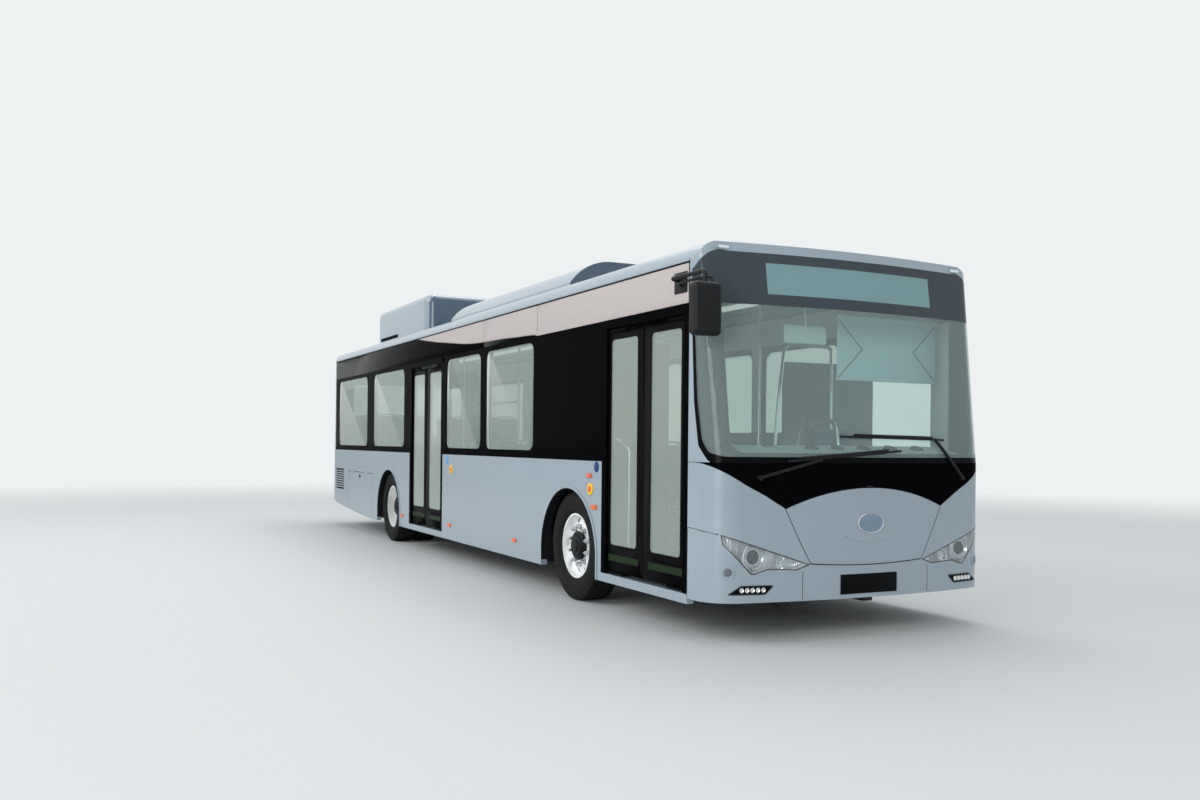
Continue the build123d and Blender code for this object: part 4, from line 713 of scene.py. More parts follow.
# Fog lamps: four-sided black trays on the bumper, each with a row of bright reflectors inside a rubber rim.
# The tray follows the bumper's bow; its reflectors are turned and chromed.
# Columns: across, height; outer low, outer top, inner top and inner low corner
FOG_OUTLINE = ((1.139, 0.351), (1.054, 0.408), (0.812, 0.406), (0.872, 0.35))
FOG_REFLECTOR = ((0.019, -0.002), (0.018, 0.005), (0.014, 0.006), (0.009, 0.001), (0.0, 0.0005))
FOG_SPOTS = (0.18, 0.34, 0.5, 0.66, 0.82)
FOG_RIM_STEPS = (0, 0.25, 0.5, 0.75, 1)
FOG_OFF = 0.002
BOW_LEVELS_Z = (0.33, 0.43)


def rod(bm, points, radius, order=3):
    """A round bar along a line of points; order 2 keeps its corners, 3 eases them."""
    line = bpy.data.curves.new("rod", "CURVE")
    line.dimensions = "3D"
    line.bevel_depth = radius
    line.bevel_resolution = 3
    line.resolution_u = 6
    line.use_fill_caps = True
    spline = line.splines.new("NURBS")
    spline.points.add(len(points) - 1)
    for spot, place in zip(spline.points, points):
        spot.co = (*place, 1)
    spline.order_u = order
    spline.use_endpoint_u = True
    holder = bpy.data.objects.new("rod", line)
    mesh = bpy.data.meshes.new_from_object(holder)
    bm.from_mesh(mesh)
    bmesh.ops.remove_doubles(bm, verts=bm.verts, dist=1e-6)
    bmesh.ops.recalc_face_normals(bm, faces=bm.faces)
    for store, spent in ((bpy.data.objects, holder), (bpy.data.curves, line), (bpy.data.meshes, mesh)):
        store.remove(spent)


def on_front(node, y, z, off):
    """A point off a node's front face."""
    place, out = touch(node, y, z)
    return place + out * off


def fog_spot(hand, along, up, off):
    """A point of the fog lamp's field, by its shares along and up, off the bumper's bow."""
    outer_low, outer_top, inner_top, inner_low = [Vector(p) for p in FOG_OUTLINE]
    y, z = outer_low.lerp(inner_low, along).lerp(outer_top.lerp(inner_top, along), up)
    bow = max(on_front("front_bumper", hand * y, level, 0).x for level in BOW_LEVELS_Z)
    return Vector((bow + off, hand * y, z))


tray = node_share("headlamps", lambda f: not is_head(f))
piece("fog_lamp_pockets", tray, black_plastic)
fields, emitters, rims = [bmesh.new() for i in range(3)]
for hand in (-1, 1):
    for v in bmesh.ops.create_grid(fields, x_segments=12, y_segments=3, size=1)["verts"]:
        v.co = fog_spot(hand, (v.co.x + 1) / 2, (v.co.y + 1) / 2, FOG_OFF)
    for along in FOG_SPOTS:
        turned(emitters, fog_spot(hand, along, 0.5, FOG_OFF), FORWARD, FOG_REFLECTOR, 24)
    way_round = [(along, 0) for along in FOG_RIM_STEPS] + [(along, 1) for along in FOG_RIM_STEPS[::-1]]
    rod(rims, [fog_spot(hand, along, up, 0.003) for along, up in way_round + [(0, 0)]], 0.004, 2)
bmesh.ops.recalc_face_normals(fields, faces=fields.faces)
if sum(f.normal.x for f in fields.faces) < 0:
    bmesh.ops.reverse_faces(fields, faces=fields.faces)
piece("fog_lamp_trays", fields, edge_print)
piece("fog_lamp_reflectors", emitters, chrome)
piece("fog_lamp_rims", rims, rubber_seal)

# Front trim: a blank black number plate, a bare oval boss on the service lid with a crease under it,
# filled joints between the bumper's three mouldings, and round covers over the towing eyes.
# Columns: half width, lower and upper edge
PLATE = (0.257, 0.321, 0.463)
# Columns: across and height of the middle, half width, half height
OVAL = (0.008, 0.828, 0.12, 0.073)
# Columns: share of the oval's half size, height off the lid
OVAL_BOSS = ((0.93, -0.004), (0.93, 0.003), (0.6, 0.006), (0.0, 0.0065))
OVAL_RIM = ((1.0, -0.004), (1.0, 0.005), (0.97, 0.008), (0.93, 0.006), (0.91, 0.001))
CREASE = ((-0.217, 0.739), (-0.12, 0.704), (0.0, 0.685), (0.12, 0.704), (0.217, 0.74))
BUMPER_JOINT_Y = 0.575
CORNER_JOINT = ((1.268, 0.785), (1.24, 0.776), (1.195, 0.764))
JOINT_R = 0.003
TOWING_YZ = (1.142, 0.503)
TOWING_RING = ((0.05, -0.004), (0.048, 0.003), (0.036, 0.005), (0.03, -0.003), (0.027, -0.003))
TOWING_PLUG = ((0.0275, -0.004), (0.026, 0.003), (0.02, 0.005), (0.0, 0.005))
plate_black = plain_finish("black_enamelled_plate", "#08090A", 0.3, 0, 1, 0.0001, IOR=1.15)
boss_finish = plain_finish("satin_anodised_boss", "#7F93A6", 0.32, 0.5)
plug_grey = plain_finish("grey_moulded_plug", "#5E666C", 0.35)

bm = bmesh.new()
face_x = touch("front_bumper", 0, sum(PLATE[1:]) / 2)[0].x
slab(bm, (face_x - 0.008, -PLATE[0], PLATE[1]), (face_x + 0.004, PLATE[0], PLATE[2]), 0.0035, 3)
piece("blank_number_plate", bm, plate_black)
boss, oval_rim = bmesh.new(), bmesh.new()
seat_at, out = touch("front_panel", OVAL[0], OVAL[1])
stretch = Matrix.Diagonal((1, OVAL[2], OVAL[3], 1)) @ Matrix.Translation(-seat_at)
stretch = Matrix.Translation(seat_at) @ stretch
for made, profile in ((boss, OVAL_BOSS), (oval_rim, OVAL_RIM)):
    turned(made, seat_at, out, profile, 64)
    bmesh.ops.transform(made, matrix=stretch, verts=made.verts)
piece("bare_oval_boss", boss, boss_finish, LID_BODY)
piece("bare_oval_rim", oval_rim, chrome, LID_BODY)
bm = bmesh.new()
rod(bm, [on_front("front_panel", y, z, -0.002) for y, z in CREASE], 0.0075)
piece("service_lid_crease", bm, body_paint, LID_BODY)
bm = bmesh.new()
for hand in (-1, 1):
    rod(bm, [on_front("front_bumper", hand * BUMPER_JOINT_Y, z, -0.0015) for z in (0.3, 0.4, 0.498)], JOINT_R)
    corner_line = [(5.549, hand * 1.274, 0.796), (5.64, hand * 1.274, 0.795)]
    corner_line += [on_front("front_bumper", hand * y, z, 0.0015) for y, z in CORNER_JOINT]
    rod(bm, corner_line, JOINT_R)
    rod(bm, [(5.547, hand * 1.2745, z) for z in (0.3, 0.55, 0.79)], JOINT_R)
piece("bumper_joints", bm, rubber_seal)
covers, hearts = bmesh.new(), bmesh.new()
for hand in (-1, 1):
    seat_at, out = touch("front_bumper", hand * TOWING_YZ[0], TOWING_YZ[1])
    turned(covers, seat_at, out, TOWING_RING, 40)
    turned(hearts, seat_at, out, TOWING_PLUG, 32)
piece("towing_eye_rings", covers, body_paint)
piece("towing_eye_plugs", hearts, plug_grey)

# Wiper blades: sprung black frames clipped over the blades, following the bow of the glass,
# each a thin bar along the blade with a stouter bridge over its middle.
# Columns: across and height of each blade's two ends
BLADES = ((-0.712, 1.272, 0.291, 1.351), (-0.263, 1.452, 0.752, 1.437))
BLADE_OFF = 0.017
BLADE_STEPS = 8
bm = bmesh.new()
for from_y, from_z, to_y, to_z in BLADES:
    start, end = Vector((from_y, from_z)), Vector((to_y, to_z))
    spots = [start.lerp(end, i / BLADE_STEPS) for i in range(BLADE_STEPS + 1)]
    rod(bm, [on_front("windscreen", y, z + 0.012, BLADE_OFF) for y, z in spots[1:-1]], 0.0095)
    rod(bm, [on_front("windscreen", y, z + 0.009, BLADE_OFF) for y, z in spots[3:6]], 0.0125)
piece("wiper_blade_frames", bm, black_plastic)

# Brow lamps: small clear position lamps on the brow's two corners, in moulded pods of the roof.
# The lenses are frosted acrylic with rounded edges, pushed into the pods.
BROW_LAMP_Y = 1.085
frosted = plain_finish("frosted_clear_lens", "#DDE6EA", 0.15, 0, 4, 0.0005)
bm = bmesh.new()
for middle in (-BROW_LAMP_Y, BROW_LAMP_Y):
    slab(bm, (5.684, middle - 0.044, 2.774), (5.6935, middle + 0.044, 2.794), 0.004, 3)
piece("brow_lamp_lenses", bm, frosted)

# Mirrors: moulded black heads on bent tubes, each with a second stay, a foot plate on the side and its glass.
# The stays are bent steel bar in a black plastic sleeve; the glass is silvered and set into the head's back.
mirror_glass = plain_finish("silvered_mirror_glass", "#E8ECEE", 0.02, 1.0, 0, 0, 0.01)
MIRROR_REACH = 1.465
# Columns: side, foot x, head x, head width
MIRRORS = ((-1, 5.4, 5.885, 0.218), (1, 5.15, 5.4, 0.172))
stays, plates, glasses = [bmesh.new() for i in range(3)]
for hand, foot_x, head_x, head_w in MIRRORS:
    head_y = hand * (MIRROR_REACH - head_w / 2)
    stay_y = head_y - hand * 0.055
    rod(stays, ((foot_x + 0.06, hand * 1.27, 2.52), (foot_x + 0.06, hand * 1.34, 2.52),
                (foot_x + 0.2, hand * 1.352, 2.53), (head_x - 0.03, stay_y, 2.535),
                (head_x - 0.005, stay_y, 2.52), (head_x, stay_y, 2.46)), 0.009)
    side_slab(plates, hand, (foot_x - 0.05, foot_x + 0.12), (1.276, 1.29), (2.47, 2.62), 0.004)
    back_x = head_x - 0.055
    slab(glasses, (back_x - 0.002, head_y - head_w / 2 + 0.035, 2.16),
         (back_x + 0.003, head_y + head_w / 2 - 0.035, 2.452), 0.002)
piece("mirror_stays", stays, black_plastic)
piece("mirror_foot_plates", plates, black_plastic)
piece("mirror_glasses", glasses, mirror_glass)

# Door leaves: satin black frames with bright bent grab rails inside, and a dark green safety strip along the
# kick panel. The strips are film and the panes' borders are print; the rails are tube screwed to the stiles.
LEAF_IN_Y = -1.215
LEAF_OUT_Y = -1.255
RAIL_SPLIT_Y = LEAF_IN_Y + 0.002
KICK_STRIP_Z = (0.432, 0.486)
polished_tube = plain_finish("polished_tube", "#D9DCDD", 0.18, 1.0)
# The door glass's pale share is a painted sheen standing in for the sky's reflection.
door_glass = sheet_glass("tinted_door_glass", "#D6E0DA", 0.19, "#EAF0EC")
green_film = plain_finish("dark_green_film", "#1D2C18", 0.45, 0, 6, 0.0002, IOR=1.15)


def pane_border(bm, low, high, border, corner_r):
    """A thin printed frame on an upright pane's face, with its inner corners rounded; y is the face's."""
    middle = (Vector(low) + Vector(high)) / 2
    lie = Matrix.Translation((middle.x, low[1] - 0.0006, middle.z)) @ Matrix.Rotation(math.pi / 2, 4, "X")
    lie = lie @ Matrix.Diagonal((high[0] - low[0], high[2] - low[2], 1, 1))
    bmesh.ops.create_grid(bm, x_segments=1, y_segments=1, size=0.5, matrix=lie)
    field = bm.faces[:]
    bmesh.ops.inset_region(bm, faces=field, thickness=border, use_boundary=True, use_even_offset=True)
    bmesh.ops.bevel(bm, geom=field[0].verts[:], offset=corner_r, segments=6, profile=0.5, affect="VERTICES",
                    material=-1)
    bmesh.ops.delete(bm, geom=[max(bm.faces, key=lambda f: len(f.verts))], context="FACES_ONLY")
    walled(bm, 0.001)


def is_frame(face):
    return face.calc_center_median().y < RAIL_SPLIT_Y


for door in ("front_door", "mid_door"):
    for end in ("rear", "front"):
        leaf = f"{door}_leaf_{end}"
        made = piece(f"{leaf}_black", node_share(f"{leaf}_frame", is_frame), satin_black, leaf)
        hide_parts(f"{leaf}_frame")
        rails = node_share(f"{leaf}_frame", lambda f: not is_frame(f))
        piece(f"{leaf}_rail", rails, polished_tube, leaf)
        reskin(f"{leaf}_glass", door_glass)
        low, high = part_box(f"{leaf}_glass")
        bm = bmesh.new()
        slab(bm, (low[0] - 0.02, LEAF_OUT_Y - 0.0012, KICK_STRIP_Z[0]),
             (high[0] + 0.02, LEAF_OUT_Y + 0.0008, KICK_STRIP_Z[1]), 0.0005, 1)
        piece(f"{leaf}_strip", bm, green_film, leaf)
        bm = bmesh.new()
        pane_border(bm, low, high, 0.014, 0.035)
        piece(f"{leaf}_pane_print", bm, satin_black, leaf)

# Side fittings: a yellow call button with an orange heart, a blank blue disc and an orange lamp by the front
# door, a second button and disc behind the middle door, and a turn latch on the service flap.
RIGHT_OUT = Vector((0, -1, 0))
# Columns: radius, out from the side; the discs' radius is a share
BUTTON = ((0.052, -0.001), (0.052, 0.007), (0.047, 0.011), (0.032, 0.012), (0.029, 0.009), (0.026, 0.009))
BUTTON_HEART = ((0.027, 0.001), (0.027, 0.012), (0.022, 0.015), (0.0, 0.016))
DISC = ((1.0, -0.0005), (1.0, 0.0012), (0.97, 0.0018), (0.0, 0.0018))
LATCH = ((0.032, -0.002), (0.032, 0.003), (0.024, 0.005), (0.0, 0.005))
yellow_cap = plain_finish("yellow_moulded_button", "#F0C419", 0.3)
orange_cap = plain_finish("orange_acrylic", "#EA5A1E", 0.15)
blue_disc = plain_finish("blue_enamelled_disc", "#103576", 0.25, IOR=1.25)
pale_disc = plain_finish("light_blue_film_disc", "#3F9BD0", 0.3)


def on_right(bm, x, z, profile, steps=40, size=1.0):
    """A turned form on the right side."""
    turned(bm, Vector((x, -SIDE_Y, z)), RIGHT_OUT, [(size * r, rise) for r, rise in profile], steps)


buttons, hearts, dark_discs, pale_discs, latch = [bmesh.new() for i in range(5)]
for x, z in ((3.958, 0.999), (0.262, 1.066)):
    on_right(buttons, x, z, BUTTON)
    on_right(hearts, x, z, BUTTON_HEART, 32)
slab(hearts, (3.898, -SIDE_Y - 0.012, 1.093), (3.976, -SIDE_Y + 0.001, 1.131), 0.005, 3)
on_right(dark_discs, 4.068, 1.187, DISC, size=0.046)
on_right(pale_discs, 0.104, 1.177, DISC, size=0.05)
piece("call_buttons", buttons, yellow_cap)
piece("call_button_hearts", hearts, orange_cap)
piece("blank_disc_front", dark_discs, blue_disc)
piece("blank_disc_middle", pale_discs, pale_disc)
on_right(latch, -4.12, 0.845, LATCH, 32)
slab(latch, (-4.143, -SIDE_Y - 0.012, 0.839), (-4.097, -SIDE_Y - 0.003, 0.851), 0.003)
piece("flap_latch", latch, black_plastic, "right_flap")

# Air intakes: black backings with a mesh-like grain set behind the louvre, the tail lid's slots and the roof
# unit's side vents;
# their black is painted shade for the dark space behind the openings. Each backing is a thin flat sheet held
# inside its opening, so no light comes through.
SLOTS_Z = (0.69, 0.735, 0.78, 0.825, 0.87)
SLOT_HALF = 0.0105
intake_shade_backing = plain_finish("black_intake_painted_shade", "#0C0D0E", 0.7, 0, 6, 0.001, IOR=1.2)
bm = bmesh.new()
slab(bm, (-5.759, -1.2535, 0.601), (-5.181, -1.2505, 0.929))
for hand in (-1, 1):
    side_slab(bm, hand, (-3.999, -3.051), (0.959, 0.964), (2.886, 2.934))
piece("intake_backs", bm, intake_shade_backing)
bm = bmesh.new()
for z in SLOTS_Z:
    slab(bm, (-5.9715, -0.299, z - SLOT_HALF), (-5.967, 0.299, z + SLOT_HALF))
piece("tail_lid_backs", bm, intake_shade_backing, "rear_lid")

# Tail lamps: round lenses in each upright cluster, from the top a stop, a turn, a tail and a reversing lamp,
# each in a thin chromed ring; a blank plate and two reflectors sit on the bumper.
LENS = ((0.056, -0.001), (0.055, 0.006), (0.045, 0.009), (0.02, 0.011), (0.0, 0.0115))
LENS_RING = ((0.064, -0.001), (0.063, 0.005), (0.0565, 0.006), (0.0555, -0.001))
LENSES_Y = 1.075
REAR_REFLECTOR_Y = 1.0
red_lens = plain_finish("red_acrylic_lens", "#B01219", 0.12, 0, 5, 0.0008)
amber_lens = plain_finish("amber_acrylic_lens", "#E0701A", 0.12, 0, 5, 0.0008)
clear_lens = plain_finish("clear_acrylic_lens", "#DCE1E3", 0.1, 0, 5, 0.0008)
white_plate = plain_finish("white_enamelled_plate", "#C9CCCC", 0.35, 0, 1, 0.0001)
# Columns: name, height, finish, slot
TAIL_LENSES = (("stop", 1.345, red_lens, "lamp_red"), ("turn", 1.18, amber_lens, "lamp_amber"),
               ("tail", 1.015, red_lens, "lamp_red"), ("reversing", 0.85, clear_lens, "lamp_clear"))
rings = bmesh.new()
for lens_name, z, finish, slot in TAIL_LENSES:
    bm = bmesh.new()
    for hand in (-1, 1):
        seat_at, out = touch("rear_lamps", hand * LENSES_Y, z, -1)
        turned(bm, seat_at, out, LENS, 40)
        turned(rings, seat_at, out, LENS_RING, 40)
    piece(f"{lens_name}_lenses", bm, finish)
piece("tail_lens_rings", rings, chrome)
bm = bmesh.new()
face_x = touch("rear_bumper", 0.0, 0.4775, -1)[0].x
slab(bm, (face_x - 0.004, -0.257, 0.421), (face_x + 0.006, 0.257, 0.534), 0.003, 3)
piece("blank_rear_plate", bm, white_plate)
bm = bmesh.new()
for middle in (-REAR_REFLECTOR_Y, REAR_REFLECTOR_Y):
    face_x = touch("rear_bumper", middle, 0.478, -1)[0].x
    slab(bm, (face_x - 0.006, middle - 0.06, 0.455), (face_x + 0.004, middle + 0.06, 0.5), 0.004, 3)
piece("rear_reflectors", bm, red_lens)

# Driver's side pane: clear safety glass without the grey-green tint of the saloon's panes.
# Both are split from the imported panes, which stay where they are bonded.
DRIVER_PANE_X = 4.2


def by_driver(face):
    middle = face.calc_center_median()
    return middle.x > DRIVER_PANE_X and middle.y > 0


saloon_panes = piece("saloon_panes", node_share("body_glass", lambda f: not by_driver(f)), tinted_glass)
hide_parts("body_glass")
# Its small pale share is a painted sheen standing in for reflection.
driver_glass = sheet_glass("clear_driver_glass", "#DCE8E6", 0.03, "#F6FBFA")
piece("driver_side_pane", node_share("body_glass", by_driver), driver_glass)

# Saloon lining: pale grey laminated boards on the ceiling and round the windows, clipped inside the walls,
# with two opal light strips along the ceiling.
LINING_Y = (1.205, 1.2195)
PILLAR_GAP = 0.012
STRIP_Y = 0.62
# Columns: rear and front end of each pillar along the left side
LEFT_PILLARS_X = ((-5.78, -5.515), (-3.7, -3.285), (-1.73, -1.55), (-0.09, 0.09), (1.22, 1.413),
                  (2.686, 2.866), (4.09, 4.27), (5.3, 5.52))
lining = plain_finish("pale_grey_laminate", "#C3C8C6", 0.55, 0, 5, 0.0002)
light_strip = plain_finish("opal_light_cover", "#EEF1EF", 0.4, Emission_Color=srgb("#F4F6F4"),
                           Emission_Strength=0.5)
bm = bmesh.new()
slab(bm, (-5.7, -1.0, 2.742), (5.3, 1.0, 2.7495), 0.002)
for hand in (-1, 1):
    side_slab(bm, hand, (-5.78, 5.3), LINING_Y, (2.4, 2.66), 0.003)
side_slab(bm, 1, (-5.78, 5.52), LINING_Y, (1.06, 1.24), 0.003)
for rear, front in LEFT_PILLARS_X:
    side_slab(bm, 1, (rear + PILLAR_GAP, front - PILLAR_GAP), LINING_Y, (1.24, 2.4), 0.003)
piece("saloon_lining", bm, lining)
bm = bmesh.new()
for middle in (-STRIP_Y, STRIP_Y):
    slab(bm, (-5.3, middle - 0.07, 2.72), (4.4, middle + 0.07, 2.743), 0.01, 3)
piece("ceiling_light_strips", bm, light_strip)

# Dashboard crown: a pale moulded cover under the windscreen, bowed with it and rising to the rear, with six
# round dark air outlets; it covers the plain console and is cut back where the front door's leaf comes in.
OUTLETS_Y = (-0.66, -0.28, -0.04, 0.21, 0.47, 0.74)
OUTLET = ((0.052, -0.01), (0.052, 0.012), (0.044, 0.018), (0.036, 0.01), (0.0, 0.008))
OUTLET_LOOKS = Vector((0.35, 0, 1)).normalized()
DASH_MIDDLE_Y = 0.015
DASH_HALF = 1.035
DASH_REAR_X = 5.45
DASH_CUT_X = 5.6
DASH_CUT_Y = -0.5
DASH_TOP_Z = 1.385
dash_skin = plain_finish("pale_grained_dash", "#A9B7B4", 0.6, 0, 3, 0.0004)
bm = bmesh.new()
bmesh.ops.create_grid(bm, x_segments=6, y_segments=24, size=1)
for v in bm.verts:
    across = DASH_MIDDLE_Y + v.co.y * DASH_HALF
    reach = (v.co.x + 1) / 2
    front = on_front("windscreen", across, 1.34, -0.09).x
    rear = DASH_REAR_X if across > DASH_CUT_Y else DASH_CUT_X
    v.co = Vector((rear + (front - rear) * reach, across, DASH_TOP_Z - 0.045 * reach - 0.012 * reach ** 2))
walled(bm, 0.02)
slab(bm, (5.44, DASH_CUT_Y, 1.09), (5.5, 1.07, 1.384), 0.012, 3)
piece("dash_crown", bm, dash_skin)
bm = bmesh.new()
for y in OUTLETS_Y:
    turned(bm, Vector((5.66, y, 1.36)), OUTLET_LOOKS, OUTLET, 28)
piece("dash_outlets", bm, black_plastic)

# Driver's fittings: an interior mirror on a stem, a plain sun board with a folded edge on crossed stays,
# and bright bent rails before the partition and over the saloon's aisle.
MIRROR_STEM = ((5.52, -0.246, 2.24), (5.53, -0.246, 2.34), (5.5, -0.246, 2.45), (5.46, -0.246, 2.74))
HOOP_X = 4.595
# Columns: across, height; the hoop on the partition
HOOP = ((0.1, 0.33), (0.14, 1.37), (0.23, 2.16), (0.25, 2.235), (0.33, 2.245), (0.66, 2.245), (0.735, 2.235),
        (0.74, 2.16), (0.74, 1.2))
LOW_RAIL_Y = 0.31
# Columns: along, height; the low rail beside the driver
LOW_RAIL = ((4.7, 1.15), (4.7, 1.5), (4.85, 1.62), (5.1, 1.62), (5.25, 1.5), (5.25, 1.15))
# Columns: rear end, front end, across
AISLE_RAILS = ((0.5, 2.12, 0.3), (0.5, 2.12, -0.3), (-3.9, -1.6, 0.3))
AISLE_RAIL_Z = 1.95
mirror_back = plain_finish("pale_moulded_back", "#BFCBC8", 0.4, 0, 2, 0.0002)
blind_board = plain_finish("grey_blue_blind_board", "#B4C8D2", 0.6, 0, 2, 0.0002)
bm = bmesh.new()
slab(bm, (5.505, -0.443, 2.15), (5.535, -0.049, 2.292), 0.014, 4)
rod(bm, MIRROR_STEM, 0.009)
piece("interior_mirror", bm, mirror_back)
bm = bmesh.new()
slab(bm, (5.476, 0.09, 1.905), (5.482, 1.09, 2.37), 0.002)
slab(bm, (5.47, 0.085, 1.893), (5.488, 1.095, 1.911), 0.005, 3)
slab(bm, (5.465, 0.08, 2.362), (5.495, 1.1, 2.402), 0.012, 3)
piece("sun_board", bm, blind_board)
bm = bmesh.new()
for ends in ((0.1, 0.33), (1.08, 0.85)):
    for low_end in (1.912, 2.362):
        rod(bm, ((5.487, ends[0], low_end), (5.489, ends[1], 2.137)), 0.003, 2)
piece("sun_board_stays", bm, rubber_seal)
bm = bmesh.new()
rod(bm, [(HOOP_X, y, z) for y, z in HOOP], 0.015)
rod(bm, [(x, LOW_RAIL_Y, z) for x, z in LOW_RAIL], 0.014)
for rear, front, y in AISLE_RAILS:
    rod(bm, [(x, y, AISLE_RAIL_Z) for x in (rear, (rear + front) / 2, front)], 0.014, 2)
piece("saloon_rails", bm, polished_tube)

# Seats: grey moulded shells on a steel pedestal with a rail along the top, and stuffed plush pads on seat and
# back. Each pad is blown up a little by a short cloth run, then drawn in along two sewn channels; one cushion
# and one back serve all seats, and the driver's stands on a podium with rubber matting.
# Columns: along the bus, floor's height
SEAT_ROWS = ((2.5, 0.32), (1.7, 0.32), (0.9, 0.32), (-3.5, 0.7), (-4.3, 0.7), (-5.0, 0.7))
SEATS = [(x, y, foot) for x, foot in SEAT_ROWS for y in (-0.96, -0.51, 0.51, 0.96)] + [(4.89, 0.7, 0.5)]
CUSHION = (0.36, 0.4, 0.06)
BACK = (0.045, 0.39, 0.58)
BACK_LEAN = math.radians(-7)
SEAT_RAIL = ((-0.015, -0.17, 0.6), (-0.015, -0.16, 0.655), (-0.015, 0.16, 0.655), (-0.015, 0.17, 0.6))
VOXEL = 0.014
AIR_FORCE = 4
AIR_STEPS = 20
MOST_SWELL = 0.014
CHANNEL_W = 0.011
CHANNEL_DEPTH = 0.007
PLUSH_MM = 9
plush, tree = blank_finish("woven_blue_plush")
place = on_object(tree)
tufts = shade(tree, "ShaderNodeTexVoronoi", Vector=place, Scale=1000 / PLUSH_MM)
drift = shade(tree, "ShaderNodeTexNoise", Vector=place, Scale=30.0, Detail=2.0)
tone = two_tone(tree, drift.outputs["Fac"], srgb("#33486B"), srgb("#4C6488"))
body = shade(tree, "ShaderNodeBsdfPrincipled", Base_Color=tone, Roughness=0.9, Sheen_Weight=0.4)
roughened(tree, body, tufts.outputs["Distance"], 0.5, 0.002)
surface(tree, body.outputs[0])


def settled(cover):
    """Take up the form that a pad's modifiers give it."""
    graph = bpy.context.evaluated_depsgraph_get()
    cover.data = bpy.data.meshes.new_from_object(cover.evaluated_get(graph))
    cover.modifiers.clear()


def stuffed(name, size, channel_axis):
    """A pad centred on the origin, swollen by air in a cloth run and drawn in along its channels."""
    bm = bmesh.new()
    slab(bm, [-s / 2 for s in size], [s / 2 for s in size], 0.018, 3)
    start = bpy.data.meshes.new(name)
    bm.to_mesh(start)
    bm.free()
    cover = bpy.data.objects.new(name, start)
    scene.collection.objects.link(cover)
    grid = cover.modifiers.new("voxels", "REMESH")
    grid.mode = "VOXEL"
    grid.voxel_size = VOXEL
    settled(cover)
    flat = [v.co.copy() for v in cover.data.vertices]
    air = cover.modifiers.new("air", "CLOTH")
    air.settings.use_pressure = True
    air.settings.uniform_pressure_force = AIR_FORCE
    air.settings.effector_weights.gravity = 0
    for step in range(1, AIR_STEPS + 1):
        scene.frame_set(step)
    settled(cover)
    scene.frame_set(1)
    for v, was in zip(cover.data.vertices, flat):
        move = v.co - was
        if move.length > MOST_SWELL:
            v.co = was + move.normalized() * MOST_SWELL
        for channel in (-size[1] / 6, size[1] / 6):
            near = math.exp(-((v.co.y - channel) / CHANNEL_W) ** 2)
            v.co[channel_axis] -= math.copysign(CHANNEL_DEPTH * near, v.co[channel_axis])
    result = cover.data
    bpy.data.objects.remove(cover)
    return result


def spread(bm, mesh, matrix):
    """Add a copy of a mesh at a place."""
    count = len(bm.verts)
    bm.from_mesh(mesh)
    bm.verts.ensure_lookup_table()
    bmesh.ops.transform(bm, matrix=matrix, verts=bm.verts[count:])


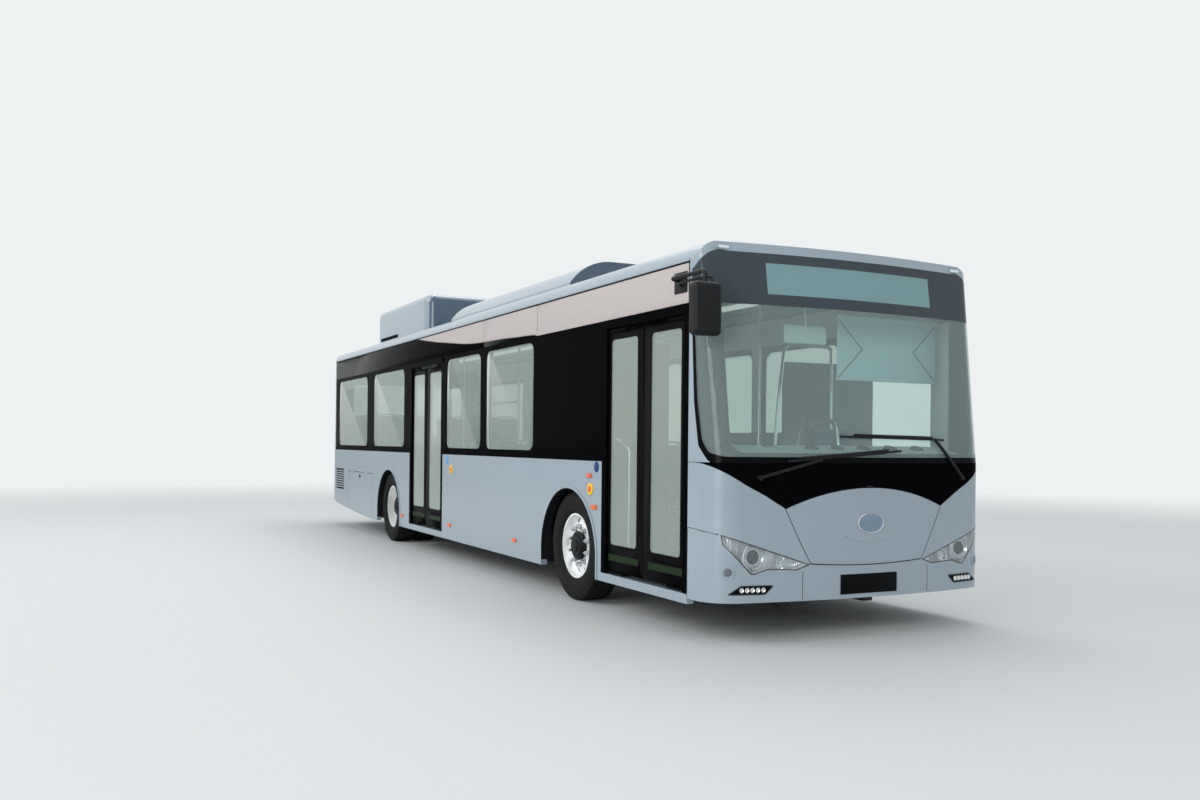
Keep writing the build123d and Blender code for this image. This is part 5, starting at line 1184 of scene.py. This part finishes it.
cushion_pad = stuffed("cushion_pad", CUSHION, 2)
back_pad = stuffed("back_pad", BACK, 0)
cushions, backs, shells, legs = [bmesh.new() for i in range(4)]
for x, y, foot in SEATS:
    stand = Matrix.Translation((x, y, foot))
    lean = stand @ Matrix.Translation((-0.215, 0, 0.44)) @ Matrix.Rotation(BACK_LEAN, 4, "Y")
    spread(cushions, cushion_pad, stand @ Matrix.Translation((0.02, 0, 0.415)))
    spread(backs, back_pad, lean @ Matrix.Translation((0.03, 0, 0.315)))
    for low, high, stands_on in (((-0.19, -0.213, 0.355), (0.205, 0.213, 0.383), stand),
                                 ((-0.03, -0.213, -0.06), (0.0, 0.213, 0.62), lean)):
        count = len(shells.verts)
        slab(shells, low, high, 0.011, 3)
        shells.verts.ensure_lookup_table()
        bmesh.ops.transform(shells, matrix=stands_on, verts=shells.verts[count:])
    slab(legs, (x - 0.11, y - 0.05, foot + 0.012), (x + 0.05, y + 0.05, foot + 0.356), 0.008)
    slab(legs, (x - 0.17, y - 0.1, foot + 0.0005), (x + 0.1, y + 0.1, foot + 0.014), 0.004)
    rod(legs, [lean @ Vector(p) for p in SEAT_RAIL], 0.011)
shell_plastic = plain_finish("grey_moulded_seat_shell", "#5C6469", 0.5, 0, 2, 0.0003)
leg_steel = plain_finish("grey_powder_coated_steel", "#7C8387", 0.4, 0.3)
matting = plain_finish("grey_rubber_matting", "#4E5356", 0.8, 0, 5, 0.0006)
seat_shells = piece("seat_shells", shells, shell_plastic)
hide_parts("passenger_seats")
piece("seat_legs", legs, leg_steel)
for made in (piece("seat_cushions", cushions, plush), piece("seat_backs", backs, plush)):
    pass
bm = bmesh.new()
slab(bm, (4.651, 0.371, 0.3205), (5.429, 1.149, 0.4995), 0.012, 3)
podium = piece("driver_podium", bm, matting)
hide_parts("driver_seat")

# Roof pods: painted glass-fibre covers whose forward-facing front ends wear thin caps of painted shade in a
# darker slate blue.
# The caps are lifted off the imported covers' own front faces and set a hair ahead of them.
CAP_FACING = 0.72
CAP_OFF = 0.0008
slate = plain_finish("slate_blue_painted_shade", "#40566A", 0.3, 0, 8, 0.0003, 0.04,
                     Coat_Weight=0.5, Coat_Roughness=0.08)
for pod in ("roof_pod_front", "roof_pod_rear"):
    shade_cap = node_share(pod, lambda f: f.normal.x > CAP_FACING)
    bmesh.ops.translate(shade_cap, vec=(CAP_OFF, 0, 0), verts=shade_cap.verts)
    piece(f"{pod}_cap", shade_cap, slate)

# Roof aerial: a short whip on a rubber foot, leaning back, bolted to the roof's left.
# The foot is turned and the whip is a thin sleeved wire standing in it.
AERIAL_FOOT = ((0.03, -0.002), (0.028, 0.012), (0.012, 0.03), (0.0, 0.032))
bm = bmesh.new()
turned(bm, Vector((4.9, 0.62, 2.825)), UP, AERIAL_FOOT, 28)
rod(bm, ((4.9, 0.62, 2.85), (4.86, 0.62, 2.93), (4.79, 0.62, 3.03)), 0.0035)
piece("roof_aerial", bm, black_plastic)
